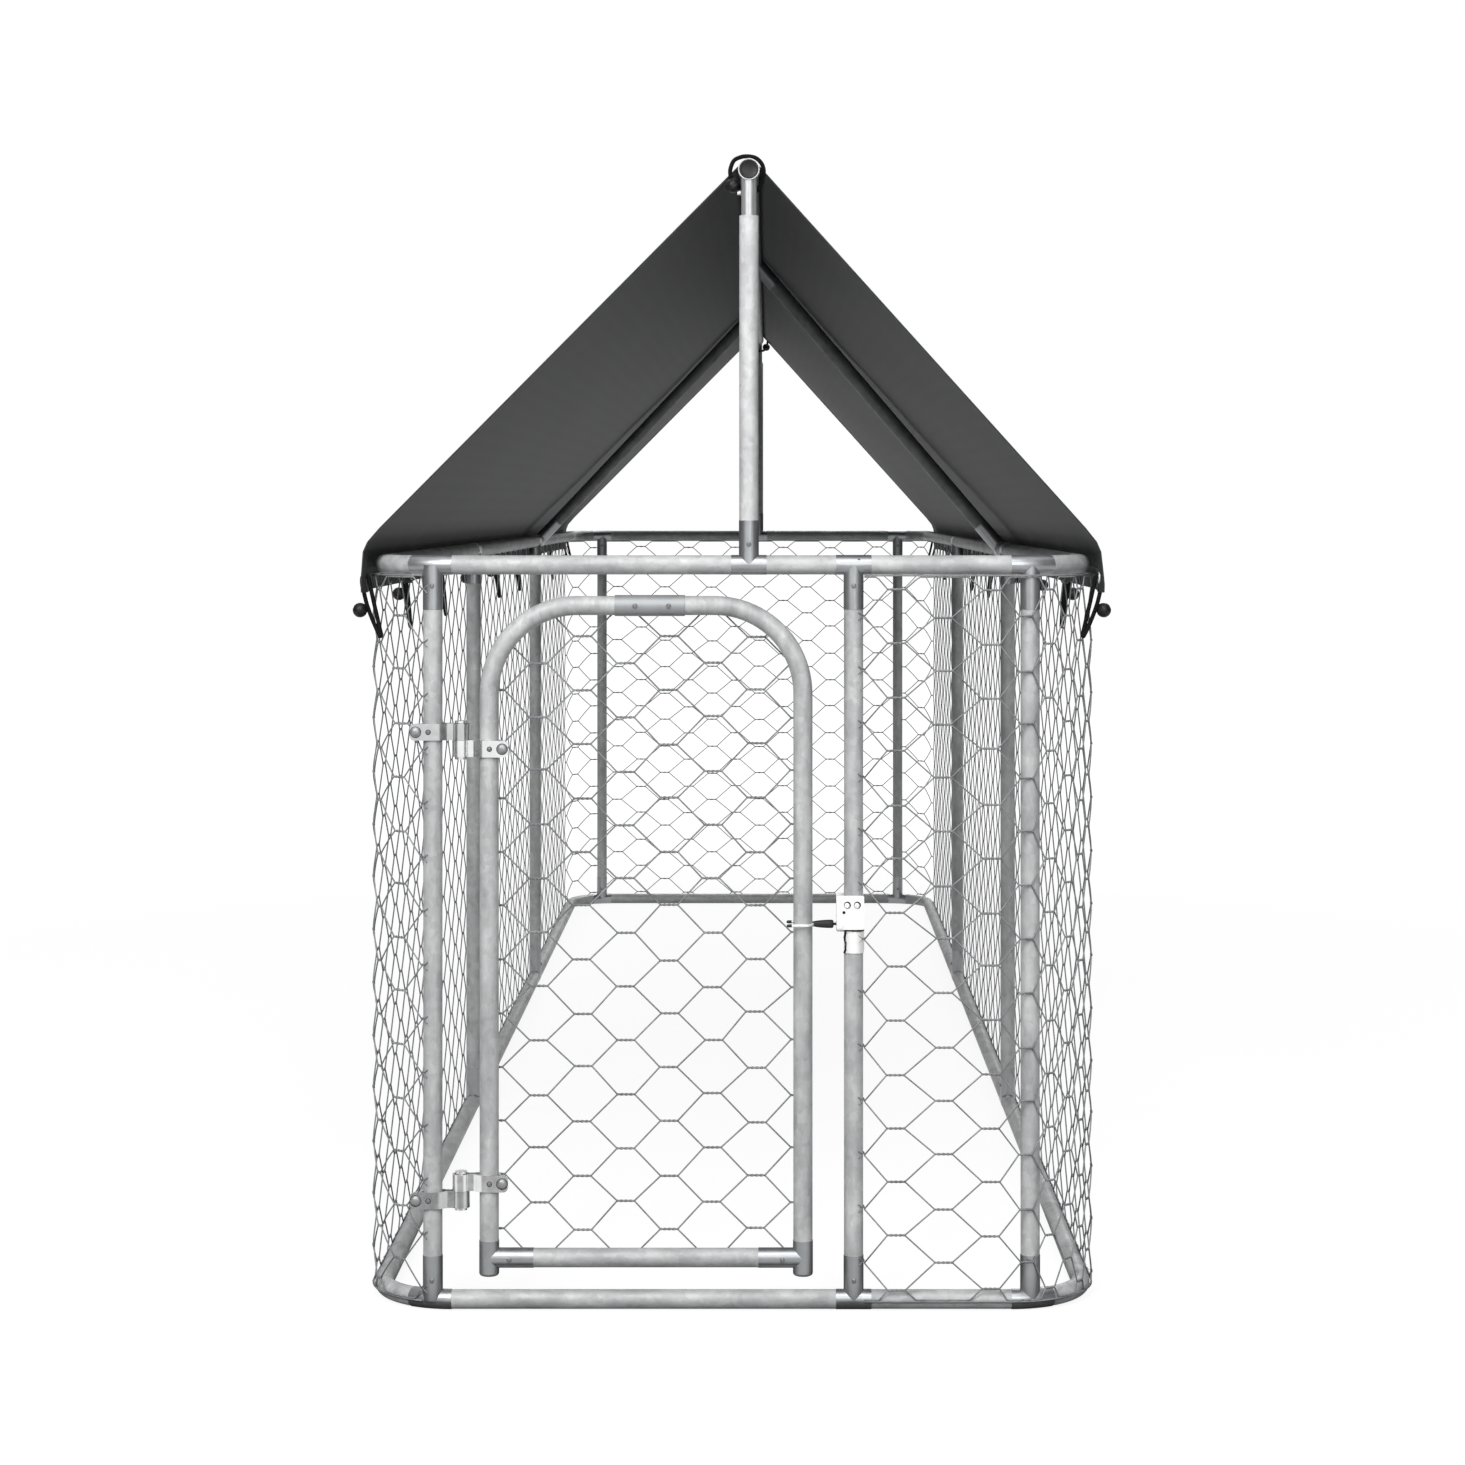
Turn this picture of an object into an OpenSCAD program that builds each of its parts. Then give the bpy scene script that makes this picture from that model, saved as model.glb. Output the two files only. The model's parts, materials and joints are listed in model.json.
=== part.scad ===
// Outdoor dog kennel run: two rings of galvanised tube carry posts, a ridge and two rafters.
// Hexagonal wire netting wraps the frame, a door with a fork latch closes the front,
// and a stretched roof sheet is held down by ball bungees.
// X runs across the width, Y along the length with the door at -Y, Z up from the ground.

/* [Run] */
// Length between the axes of the front and back rails
run_l = 3975; // [3600:5:4600]
// Width between the axes of the side rails
run_w = 929; // [900:1:1100]
// Height between the axes of the bottom and top rails
run_h = 957; // [930:1:1100]
// Bend radius of the plan corners, on the tube axis
bend_r = 100; // [90:1:110]
// Corner post past the start of its bend
corner_post = 25; // [20:0.5:30]
// Straight leg of a corner bend along the side
bend_leg = 75; // [60:1:250]
// Middle front post, as a share of the way from the centre plane to a corner post
mid_post_share = 0.4082; // [0.38:0.0001:0.5]
// First pair of side posts, behind the front rails
side_post_1 = 1300; // [900:5:1350]
// Second pair of side posts, behind the front rails
side_post_2 = 2675; // [2300:5:2700]

/* [Roof frame] */
// Ridge offset from the centre plane
ridge_x = 22.5; // [0:0.5:60]
// Ridge axis above the top rail axis
ridge_rise = 515; // [400:1:600]
// End of the ridge, in front of its post's axis
ridge_nose = 12; // [11:1:30]
// Right rafter, behind the front rails
right_rafter_y = 1440; // [1400:5:1600]
// Left rafter, behind the front rails
left_rafter_y = 2780; // [2760:5:3000]

/* [Tube and fittings] */
// Outside diameter of the tube
tube_d = 25; // [24:0.5:28]
// Wall of the tube
tube_wall = 1.2; // [0.8:0.1:1.6]
// Radial clearance of a tube end in its socket
fit_gap = 0.1; // [0.05:0.05:0.2]
// Wall of a tee
fitting_wall = 1.7; // [1.4:0.1:2.5]
// Length of a tee along the rail
tee_l = 46; // [40:1:60]
// Length of a corner tee along its bend
corner_tee_l = 54; // [50:1:60]
// Reach of a tee's stem from the rail axis
stem_l = 58; // [50:1:70]
// Wall of the ridge end ring
ring_wall = 1.4; // [1:0.1:2.5]
// Outside diameter of the ridge end stem
ridge_stem_d = 20; // [16:0.5:20.5]
// Ridge axis above the top of a ridge post
ridge_drop = 60; // [50:1:80]
// Screw head diameter
screw_head_d = 8; // [6:0.5:10]
// Screw shank diameter
screw_d = 4; // [3:0.5:5]

/* [Netting] */
// Spacing of the netting columns
net_pitch = 61; // [50:1:70]
// Spacing of the twists up a column
net_row = 70; // [60:1:80]
// Length of a twist
net_twist = 24; // [16:1:28]
// Column spacing of the door netting
door_net_pitch = 56.7; // [50:0.1:65]
// Width of a netting strand
net_wire = 2; // [1.6:0.1:3]
// Thickness of the netting
net_t = 1.6; // [1.2:0.1:2]
// Cell size of the long walls as a multiple of the netting's own
wall_cells = 2; // [2:1:4]

/* [Door] */
// Left stile of the door, from the corner post's axis to its own
hinge_span = 73.5; // [70:0.5:85]
// Right stile of the door, from the middle post's axis to its own
latch_span = 66; // [63:1:75]
// Axis of the door's bottom rail above the ground
door_foot_z = 67; // [60:1:80]
// Axis of the door's top rail above the ground
door_top_z = 917; // [890:1:920]
// Radius of the door's top corners, on the tube axis
door_arch_r = 115; // [80:1:150]
// Length of the sleeve that joins the two door tubes
sleeve_l = 91; // [60:1:120]
// Middle of the sleeve, to the right of the door's middle
sleeve_off = 5; // [-10:0.5:10]
// Split between the two leaves of the upper hinge
hinge_top_z = 742; // [600:1:780]
// Split between the two leaves of the lower hinge
hinge_low_z = 155; // [135:1:200]
// Height of a hinge leaf
leaf_h = 22; // [16:1:28]
// Outside diameter of a hinge barrel
barrel_d = 21; // [17:1:22]
// Hinge pin diameter
hinge_pin_d = 10; // [8:0.5:12]
// Sheet thickness of clamps and brackets
strap_t = 2; // [1.5:0.1:2.5]

/* [Latch] */
// Fork pivot above the ground
fork_z = 502; // [480:1:560]
// Reach of the fork from its pivot
fork_reach = 69; // [66:1:75]
// Thickness of a fork tine
tine_d = 4.4; // [3.5:0.1:5]
// Latch plate height above the saddle
plate_h = 46; // [40:1:60]
// Pivot pin diameter
pivot_d = 5; // [4:0.5:6]

/* [Roof sheet] */
// Thickness of the roof sheet
sheet_t = 1.2; // [0.8:0.1:2]
// Fold at the eaves above the top rail axis
fold_rise = 27; // [15:1:40]
// Hem of the skirt below the top rail axis
hem_drop = 34; // [30:1:60]
// Eyelets along each skirt
eyelets = 9; // [5:1:12]
// Bungee cord diameter
bungee_d = 4; // [3:0.5:5]
// Bungee ball diameter
ball_d = 18; // [14:1:20]

/* [Hidden] */
$fn = 48;
ov = 1;
touch = 0.3;
run_gap = 0.05;
galvanised = [0.74, 0.75, 0.76];
zinc = [0.62, 0.63, 0.65];
bright_zinc = [0.88, 0.88, 0.87];
wire_grey = [0.6, 0.62, 0.63];
dark_cloth = [0.25, 0.26, 0.27];
black = [0.07, 0.07, 0.07];

spigot_d = tube_d - 2 * tube_wall - 2 * fit_gap;
socket_d = spigot_d + 2 * fit_gap;
neck_d = spigot_d - 2 * tube_wall;
fitting_d = socket_d + 2 * fitting_wall;
collar = 2;
rail_spigot = tee_l / 2 - 1;
spigot_clear = fitting_d / 2 + 7;
stem_spigot = stem_l - spigot_clear;
stem_screw_at = fitting_d / 2 + 14;

front_y = -run_l / 2;
back_y = run_l / 2;
side_x = run_w / 2;
low_z = fitting_d / 2;
top_z = low_z + run_h;
ridge_z = top_z + ridge_rise;
bend_x = side_x - bend_r;
bend_y = back_y - bend_r;
post_x = bend_x + corner_post;
post_y = bend_y + sqrt(bend_r * bend_r - corner_post * corner_post);
tee_turn = corner_tee_l / bend_r * 180 / PI;
collar_turn = collar / bend_r * 180 / PI;
bend_gap = 0.5;
leg_y = bend_y - bend_leg;
mid_post_x = mid_post_share * post_x;
stile_left_x = hinge_span - post_x;
stile_right_x = mid_post_x - latch_span;
sleeve_x = (stile_left_x + stile_right_x) / 2 + sleeve_off;
post_y1 = front_y + side_post_1;
post_y2 = front_y + side_post_2;
rafter_right = front_y + right_rafter_y;
rafter_left = front_y + left_rafter_y;

ring_d = tube_d + 2 * fit_gap + 2 * ring_wall;
ridge_stem_in = 40;
ridge_post_base = top_z + stem_l;
ridge_post_top = ridge_z - ridge_drop;
cap_t = 6;

net_in = fitting_d / 2 + touch;
net_out = net_in + net_t;
net_lap_low = 8;
net_lap_high = 5;
net_low = low_z - net_lap_low;
net_high = top_z + net_lap_high;
net_h = net_high - net_low;
corner_net_edge = 5;
return_net_x = post_x + fitting_d / 2 + 1.5;
return_net_turn = 90 - asin((return_net_x - bend_x) / (bend_r + net_in));
net_end_gap = 1.5;
front_net_x = mid_post_x + tube_d / 2 + net_end_gap;
door_net_inset = 6.5;
foot_t = 3;
foot_round = 4;

hinge_x = (stile_left_x - post_x) / 2;
clamp_d = tube_d + 2 * fit_gap + 2 * strap_t;
post_ear = 21;
door_ear = 18;
ear_t = 7;
ear_r = 6.5;
ear_lap = 6;
ear_front = clamp_d / 2 + 0.2;
ear_room = 1;
bolt_d = 6;
bolt_head_d = 11;
bolt_head_h = 3;
nut_d = 9;
nut_h = 3.5;
pin_head_h = 3;
leaf_gap = 0.3;

plate_in = tube_d / 2 + 1.1;
plate_out = plate_in + strap_t;
pivot_reach = 18;
pivot_x = mid_post_x - pivot_reach;
plate_lap = 5;
plate_left = pivot_x - plate_lap;
plate_reach = 13;
plate_right = mid_post_x + plate_reach;
saddle_h = 30;
saddle_drop = 7;
saddle_top = fork_z - saddle_drop;
plate_top = saddle_top + plate_h;
plate_screws = [-9, 4];
plate_screw_drop = 13;
plate_screw_z = plate_top - plate_screw_drop;
peep_d = 3.5;
peep_drop = 9;
fork_barrel_d = 9;
fork_bar_d = 6;
fork_arm = 7.6;
fork_arm_l = 31;
fork_bar_x = pivot_x - fork_arm_l;
tine_y = 18.8;
fork_bar_l = 2 * tine_y + tine_d + 2;

bungee_gap = 0.45;
skirt_in = side_x + net_out + bungee_d + 2 * bungee_gap;
skirt_out = skirt_in + sheet_t;
hem_z = top_z - hem_drop;
fold_z = top_z + fold_rise;
sheet_l = run_l - tee_l - 4;
sheet_r = fitting_d / 2 + touch;
eyelet_hole = bungee_d + 3;
eyelet_d = 16;
eyelet_t = 0.8;
loop_r = bungee_d;
loop_mid_x = skirt_in - touch - bungee_d / 2 + loop_r;
loop_above_hem = 13;
loop_below_hem = 61;
loop_top = hem_z + loop_above_hem;
loop_low = hem_z - loop_below_hem;
eyelet_z = loop_top + loop_r - 0.2;
ball_x = skirt_in + touch + ball_d / 2;
ball_below_hem = 25;
ball_z = hem_z - ball_below_hem;
eyelet_edge = 15;
first_eyelet = -sheet_l / 2 + eyelet_edge;
eyelet_step = (sheet_l - 2 * eyelet_edge) / (eyelets - 1);
ridge_loop_r = ring_d / 2 + touch + bungee_d / 2;
ridge_loop_inset = 5;
ridge_loop_y = run_l / 2 - tee_l / 2 + ridge_loop_inset;
ridge_loop_drop = 23;

// Turns a child that stands on +Z so that it runs from point a towards point b
module aim(a, b) {
    d = b - a;
    translate(a) rotate([0, acos(d.z / norm(d)), atan2(d.y, d.x)]) children();
}

module pipe(od, id, l) {
    difference() {
        cylinder(d = od, h = l);
        translate([0, 0, -ov]) cylinder(d = id, h = l + 2 * ov);
    }
}

// Tube with necked ends that enter the sockets of the fittings; a neck of 0 leaves a plain end, below 0 an open one
module tube(l, neck_a, neck_b) {
    a = max(neck_a, 0);
    b = max(neck_b, 0);
    bore_from = neck_a < 0 ? -ov : collar;
    bore_to = neck_b < 0 ? l + ov : l - collar;
    difference() {
        union() {
            cylinder(d = tube_d, h = l);
            translate([0, 0, -a]) cylinder(d = spigot_d, h = l + a + b);
        }
        translate([0, 0, -a - ov]) cylinder(d = neck_d, h = l + a + b + 2 * ov);
        translate([0, 0, bore_from]) cylinder(d = socket_d, h = bore_to - bore_from);
    }
}

module tube_between(a, b, neck_a, neck_b) {
    aim(a, b) tube(norm(b - a), neck_a, neck_b);
}

// Straight run of rail tubes along an axis between stations; inset is a station's half length
module rail_run(start, axis, stations, insets, ends = rail_spigot) {
    last = len(stations) - 2;
    for (i = [0 : last]) {
        a = start + axis * (stations[i] + insets[i]);
        b = start + axis * (stations[i + 1] - insets[i + 1]);
        tube_between(a, b, i == 0 ? ends : rail_spigot, i == last ? ends : rail_spigot);
    }
}

// Tee with its run along X and its stem along +Z; the screw faces -Y
module tee(stem = stem_l, screw = true) {
    difference() {
        union() {
            translate([-tee_l / 2, 0, 0]) rotate([0, 90, 0]) cylinder(d = fitting_d, h = tee_l);
            cylinder(d = fitting_d, h = stem);
        }
        translate([-tee_l / 2 - ov, 0, 0]) rotate([0, 90, 0]) cylinder(d = socket_d, h = tee_l + 2 * ov);
        cylinder(d = socket_d, h = stem + ov);
        if (screw)
            translate([0, 0, stem_screw_at]) rotate([90, 0, 0])
                cylinder(d = screw_d + 2 * fit_gap, h = fitting_d);
    }
}

// Pan head screw that sits in a tee's stem
module stem_screw()
    translate([0, 0, stem_screw_at]) rotate([90, 0, 0]) pan_screw(spigot_d / 2 + fit_gap / 2, fitting_d / 2);

// Screw along +Z whose shank starts at one radius and whose head seats at another
module pan_screw(shank_from, seat) {
    translate([0, 0, shank_from]) cylinder(d = screw_d, h = seat - shank_from + 0.5);
    translate([0, 0, seat]) cylinder(d = screw_head_d, h = 1.2);
    translate([0, 0, seat + 1.2]) cylinder(d1 = screw_head_d, d2 = screw_head_d - 3, h = 1.2);
}

// Places for the tees: position, turn about Z and whether the stem points down
module tee_at(x, y, z, turn, down) {
    translate([x, y, z]) rotate([0, 0, turn]) mirror([0, 0, down ? 1 : 0]) children();
}

open_end = -1;
side_ys = [post_y1, post_y2];

module front_bottom_rail() color(galvanised)
    rail_run([0, front_y, low_z], [1, 0, 0], [-bend_x, mid_post_x, bend_x], [0, tee_l / 2, 0], open_end);

module back_bottom_rail() color(galvanised)
    rail_run([0, back_y, low_z], [1, 0, 0], [-bend_x, bend_x], [0, 0], open_end);

module front_top_rail() color(galvanised)
    rail_run([0, front_y, top_z], [1, 0, 0], [-bend_x, ridge_x, mid_post_x, bend_x],
        [0, tee_l / 2, tee_l / 2, 0], open_end);

module back_top_rail() color(galvanised)
    rail_run([0, back_y, top_z], [1, 0, 0], [-bend_x, ridge_x, bend_x], [0, tee_l / 2, 0], open_end);

module side_bottom_rail(x) color(galvanised)
    rail_run([x, 0, low_z], [0, 1, 0], [-leg_y, post_y1, post_y2, leg_y], [0, tee_l / 2, tee_l / 2, 0]);

module left_top_rail() color(galvanised)
    rail_run([-side_x, 0, top_z], [0, 1, 0], [-leg_y, post_y1, post_y2, rafter_left, leg_y],
        [0, tee_l / 2, tee_l / 2, tee_l / 2, 0]);

module right_top_rail() color(galvanised)
    rail_run([side_x, 0, top_z], [0, 1, 0], [-leg_y, post_y1, rafter_right, post_y2, leg_y],
        [0, tee_l / 2, tee_l / 2, tee_l / 2, 0]);

// Solid stretch of the back right corner's bend, between two angles
module bend_arc(from, to, d)
    translate([bend_x, bend_y, 0]) rotate([0, 0, from]) rotate_extrude(angle = to - from)
        translate([bend_r, 0]) circle(d = d);

// Bent tube of the back right corner: necked through its tee into the rail, open towards the side rail
module bend() {
    full_to = 90 - tee_turn;
    difference() {
        union() {
            bend_arc(0, 90, spigot_d);
            bend_arc(0, full_to, tube_d);
            translate([side_x, leg_y, 0]) rotate([-90, 0, 0]) cylinder(d = tube_d, h = bend_leg);
            translate([bend_x - rail_spigot, back_y, 0]) rotate([0, 90, 0]) cylinder(d = spigot_d, h = rail_spigot);
        }
        bend_arc(0, 90, neck_d);
        bend_arc(0, full_to - collar_turn, socket_d);
        translate([side_x, leg_y - ov, 0]) rotate([-90, 0, 0]) cylinder(d = socket_d, h = bend_leg + ov);
        translate([bend_x - rail_spigot - ov, back_y, 0]) rotate([0, 90, 0]) cylinder(d = neck_d, h = rail_spigot + ov);
    }
}

// Puts a child of the back right corner at any corner of either ring, upside down on the top ring
module corner_at(left, front, top)
    translate([0, 0, top ? top_z : low_z]) mirror([left, 0, 0]) mirror([0, front, 0]) mirror([0, 0, top]) children();

// Tee of the back right corner: its run follows the bend and its stem stands at the post
module corner_tee(stem_y, screw_out) {
    difference() {
        union() {
            bend_arc(90 - tee_turn, 90, fitting_d);
            translate([post_x, stem_y, 0]) cylinder(d = fitting_d, h = stem_l);
        }
        bend_arc(89 - tee_turn, 91, socket_d + 2 * bend_gap);
        translate([post_x, stem_y, 0]) cylinder(d = socket_d, h = stem_l + ov);
        translate([post_x, stem_y, stem_screw_at]) rotate([screw_out ? -90 : 90, 0, 0])
            cylinder(d = screw_d + 2 * fit_gap, h = fitting_d);
    }
}

module bends(back) color(galvanised)
    for (left = [0, 1], top = [0, 1]) corner_at(left, back ? 0 : 1, top) bend();

module post(x, y) color(galvanised)
    translate([x, y, low_z + stem_l]) tube(run_h - 2 * stem_l, stem_spigot, stem_spigot);

module front_corner_posts() {
    post(-post_x, front_y);
    post(post_x, -post_y);
}

module front_tees(down) color(zinc) {
    z = down ? top_z : low_z;
    top = down ? 1 : 0;
    corner_at(1, 1, top) corner_tee(back_y, true);
    tee_at(mid_post_x, front_y, z, 0, down) tee();
    corner_at(0, 1, top) corner_tee(post_y, false);
    if (down) tee_at(ridge_x, front_y, z, 0, false) tee();
}

module back_tees() color(zinc) {
    for (left = [0, 1], top = [0, 1]) corner_at(left, 0, top) corner_tee(post_y, false);
    tee_at(ridge_x, back_y, top_z, 180, false) tee();
}

module side_tees(side) color(zinc)
    for (y = side_ys) {
        tee_at(side * side_x, y, low_z, -side * 90, false) tee();
        tee_at(side * side_x, y, top_z, -side * 90, true) tee();
    }

module frame_screws() color(bright_zinc) {
    for (down = [false, true]) {
        z = down ? top_z : low_z;
        tee_at(-post_x, front_y, z, 0, down) stem_screw();
        tee_at(mid_post_x, front_y, z, 0, down) stem_screw();
        tee_at(post_x, -post_y, z, 180, down) stem_screw();
        for (x = [-post_x, post_x]) tee_at(x, post_y, z, 0, down) stem_screw();
        for (side = [-1, 1], y = side_ys) tee_at(side * side_x, y, z, -side * 90, down) stem_screw();
    }
    tee_at(ridge_x, front_y, top_z, 0, false) stem_screw();
    tee_at(ridge_x, back_y, top_z, 180, false) stem_screw();
}

module ridge_post(y) color(galvanised)
    translate([ridge_x, y, ridge_post_base]) difference() {
        union() {
            cylinder(d = tube_d, h = ridge_post_top - ridge_post_base);
            translate([0, 0, -stem_spigot]) cylinder(d = spigot_d, h = stem_spigot + ov);
        }
        translate([0, 0, -stem_spigot - ov])
            cylinder(d = neck_d, h = stem_spigot + 2 * ov + collar);
        translate([0, 0, collar])
            cylinder(d = socket_d, h = ridge_post_top - ridge_post_base - ridge_stem_in - 2 * collar);
        translate([0, 0, collar + ov])
            cylinder(d = ridge_stem_d + 2 * fit_gap, h = ridge_post_top - ridge_post_base);
    }

// End fitting of the ridge: a ring over the tube and a narrow stem into the ridge post
module ridge_tee(y) color(zinc) {
    ring_l = tee_l / 2 + ridge_nose;
    ring_end = y < 0 ? tee_l / 2 : ridge_nose;
    translate([ridge_x, y, ridge_z]) difference() {
        union() {
            translate([0, ring_end, 0]) rotate([90, 0, 0]) cylinder(d = ring_d, h = ring_l);
            translate([0, 0, -ridge_drop - ridge_stem_in])
                cylinder(d = ridge_stem_d, h = ridge_drop + ridge_stem_in);
        }
        translate([0, ring_end + ov, 0]) rotate([90, 0, 0])
            cylinder(d = tube_d + 2 * fit_gap, h = ring_l + 2 * ov);
        translate([0, 0, -ridge_drop - ridge_stem_in - ov])
            cylinder(d = ridge_stem_d - 2 * tube_wall, h = ridge_stem_in + ridge_drop - ring_d / 2);
    }
}

module ridge_tubes() color(galvanised) {
    front_end = [ridge_x, front_y - ridge_nose, ridge_z];
    back_end = [ridge_x, back_y + ridge_nose, ridge_z];
    right_joint = [ridge_x, rafter_right, ridge_z];
    left_joint = [ridge_x, rafter_left, ridge_z];
    half = [0, tee_l / 2, 0];
    ridge_end_tube(front_end, right_joint - half);
    tube_between(right_joint + half, left_joint - half, rail_spigot, rail_spigot);
    ridge_end_tube(back_end, left_joint + half);
}

// Ridge tube with an open end a for the end cap and a necked end b
module ridge_end_tube(a, b) {
    aim(a, b) difference() {
        tube(norm(b - a), 0, rail_spigot);
        translate([0, 0, -ov]) cylinder(d = socket_d, h = collar + 2 * ov);
    }
}

// Plug that closes the ridge tube flush with its end
module ridge_end_caps() color(black)
    for (end = [-1, 1])
        translate([ridge_x, end * (back_y + ridge_nose), ridge_z]) rotate([end * 90, 0, 0]) {
            difference() {
                cylinder(d = socket_d - 2 * fit_gap, h = cap_t);
                translate([0, 0, 2]) cylinder(d = neck_d, h = cap_t);
            }
        }

// Tees of a rafter, aimed along it from the ridge or from the side rail
module rafter_tee(x, y, z, to_x, to_z) color(zinc)
    translate([x, y, z]) rotate([0, atan2(to_x - x, to_z - z), 0]) rotate([0, 0, 90]) tee(screw = false);

module rafter_tees() {
    rafter_tee(ridge_x, rafter_right, ridge_z, side_x, top_z);
    rafter_tee(ridge_x, rafter_left, ridge_z, -side_x, top_z);
}

module rafter_feet() {
    rafter_tee(side_x, rafter_right, top_z, ridge_x, ridge_z);
    rafter_tee(-side_x, rafter_left, top_z, ridge_x, ridge_z);
}

module rafter(x, y) color(galvanised) {
    foot = [x, y, top_z];
    head = [ridge_x, y, ridge_z];
    step = (head - foot) / norm(head - foot) * stem_l;
    tube_between(foot + step, head - step, stem_spigot, stem_spigot);
}

// Part of a convex outline on one side of a line along an axis
function clip(p, axis, at, keep) = [
    for (i = [0 : len(p) - 1])
        let (a = p[i], b = p[(i + 1) % len(p)], da = keep * (a[axis] - at), db = keep * (b[axis] - at))
        each concat(da >= 0 ? [a] : [], da * db < 0 ? [a + (b - a) * (da / (da - db))] : [])
];

function clip_box(p, w, h, edge) =
    let (a = clip(p, 0, edge, 1), b = len(a) > 2 ? clip(a, 0, w - edge, -1) : [],
        c = len(b) > 2 ? clip(b, 1, edge, 1) : [])
    len(c) > 2 ? clip(c, 1, h - edge, -1) : [];

function span(p, axis) = max([for (q = p) q[axis]]) - min([for (q = p) q[axis]]);

// Outline of one gap between strands, about its own middle
function gap_outline(pitch, row, twist, wire) =
    let (lean = atan2(row / 2, pitch - twist), tip = pitch - twist / 2 - wire / 2 / sin(lean),
        half = row / 2 - wire / 2, flat = tip - half / tan(lean))
    [[tip, 0], [flat, half], [-flat, half], [-tip, 0], [-flat, -half], [flat, -half]];

// Gaps of a netting panel, clipped to the panel less its edge strands
function net_gaps(w, h, pitch, row, twist, wire) = [
    for (i = [0 : ceil(w / pitch)], j = [0 : ceil(h / row)])
        let (at = [i * pitch, (j + (i % 2) / 2) * row],
            p = clip_box([for (q = gap_outline(pitch, row, twist, wire)) q + at], w, h, wire))
        if (len(p) > 2 && span(p, 0) > 4 * wire && span(p, 1) > 4 * wire) p
];

// Flat netting that stands on its lower edge, with its outer face at y = 0
module net_panel(w, h, pitch, row, twist) {
    translate([0, net_t, 0]) rotate([90, 0, 0]) linear_extrude(net_t) difference() {
        square([w, h]);
        for (p = net_gaps(w, h, pitch, row, twist, net_wire)) polygon(p);
    }
}

module wall_panel(w) {
    net_panel(w, net_h, net_pitch * wall_cells, net_row * wall_cells, net_twist * wall_cells);
}

module left_net() color(wire_grey)
    translate([-side_x - net_out, bend_y, net_low]) rotate([0, 0, -90]) wall_panel(2 * bend_y);

module right_net() color(wire_grey)
    translate([side_x + net_out, -bend_y, net_low]) rotate([0, 0, 90]) wall_panel(2 * bend_y);

module back_net() color(wire_grey)
    translate([bend_x, back_y + net_out, net_low]) rotate([0, 0, 180]) wall_panel(2 * bend_x);

module front_net() color(wire_grey)
    translate([front_net_x, front_y - net_out, net_low])
        net_panel(bend_x - front_net_x, net_h, net_pitch, net_row, net_twist);

// Netting round a plan corner or part of it: a shell with a column of gaps
module corner_net(turn = 90) {
    row = net_row * wall_cells;
    rows = floor(net_h / row);
    margin = (net_h - rows * row) / 2;
    tip = (bend_r + net_in) * sin(turn / 2 - corner_net_edge);
    twist = 2 * tip - net_twist;
    translate([bend_x, bend_y, net_low]) difference() {
        rotate_extrude(angle = turn) translate([bend_r + net_in + bend_gap, 0]) square([net_t, net_h]);
        for (j = [0 : rows - 1])
            translate([0, 0, margin + (j + 0.5) * row]) rotate([0, 0, turn / 2]) rotate([90, 0, 90])
                linear_extrude(2 * bend_r + net_out)
                    polygon(gap_outline(tip + twist / 2, row, twist, net_wire));
    }
}

// Room for the hinge ears on the corner post, where the netting passes behind them
module ear_rooms() {
    reach = post_ear + ear_r + ear_room;
    depth = 2 * ear_front;
    for (low = [upper_post_z, lower_post_z])
        translate([-post_x - reach, front_y - depth, low - ear_room])
            cube([reach, depth + ear_t, leaf_h + 2 * ear_room]);
}

module corner_nets() color(wire_grey) {
    for (front = [0, 1]) mirror([0, front, 0]) corner_net();
    mirror([1, 0, 0]) corner_net();
    difference() {
        mirror([1, 0, 0]) mirror([0, 1, 0]) corner_net(return_net_turn);
        ear_rooms();
    }
}

// Points where the sheet leaves the ridge towards a fold, and the arc between them
function leave_angle(fold, r, side) =
    let (d = fold - [ridge_x, ridge_z]) atan2(d.y, d.x) + (d.x < 0 && d.y < 0 ? 360 : 0) + side * acos(r / norm(d));

function ridge_arc(r, folds) =
    let (a = leave_angle(folds[0], r, 1), b = leave_angle(folds[1], r, -1))
    [for (i = [0 : 6]) let (t = a + (b - a) * i / 6) [ridge_x + r * cos(t), ridge_z + r * sin(t)]];

module roof_cover() color(dark_cloth) {
    inner_folds = [[skirt_in, fold_z], [-skirt_in, fold_z]];
    outer_folds = [[skirt_out, fold_z + sheet_t / 2], [-skirt_out, fold_z + sheet_t / 2]];
    inner = concat([[skirt_in, hem_z], inner_folds[0]], ridge_arc(sheet_r, inner_folds),
        [inner_folds[1], [-skirt_in, hem_z]]);
    outer = concat([[skirt_out, hem_z], outer_folds[0]], ridge_arc(sheet_r + sheet_t, outer_folds),
        [outer_folds[1], [-skirt_out, hem_z]]);
    difference() {
        translate([0, sheet_l / 2, 0]) rotate([90, 0, 0]) linear_extrude(sheet_l)
            polygon(concat(inner, [for (i = [len(outer) - 1 : -1 : 0]) outer[i]]));
        at_eyelets() translate([skirt_in - ov, 0, eyelet_z]) rotate([0, 90, 0])
            cylinder(d = eyelet_hole, h = sheet_t + 2 * ov);
    }
}

module at_eyelets() {
    for (side = [0, 1], i = [0 : eyelets - 1])
        mirror([side, 0, 0]) translate([0, first_eyelet + i * eyelet_step, 0]) children();
}

module roof_eyelets() color(bright_zinc)
    at_eyelets() translate([skirt_out, 0, eyelet_z]) rotate([0, 90, 0]) pipe(eyelet_d, eyelet_hole, eyelet_t);

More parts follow.
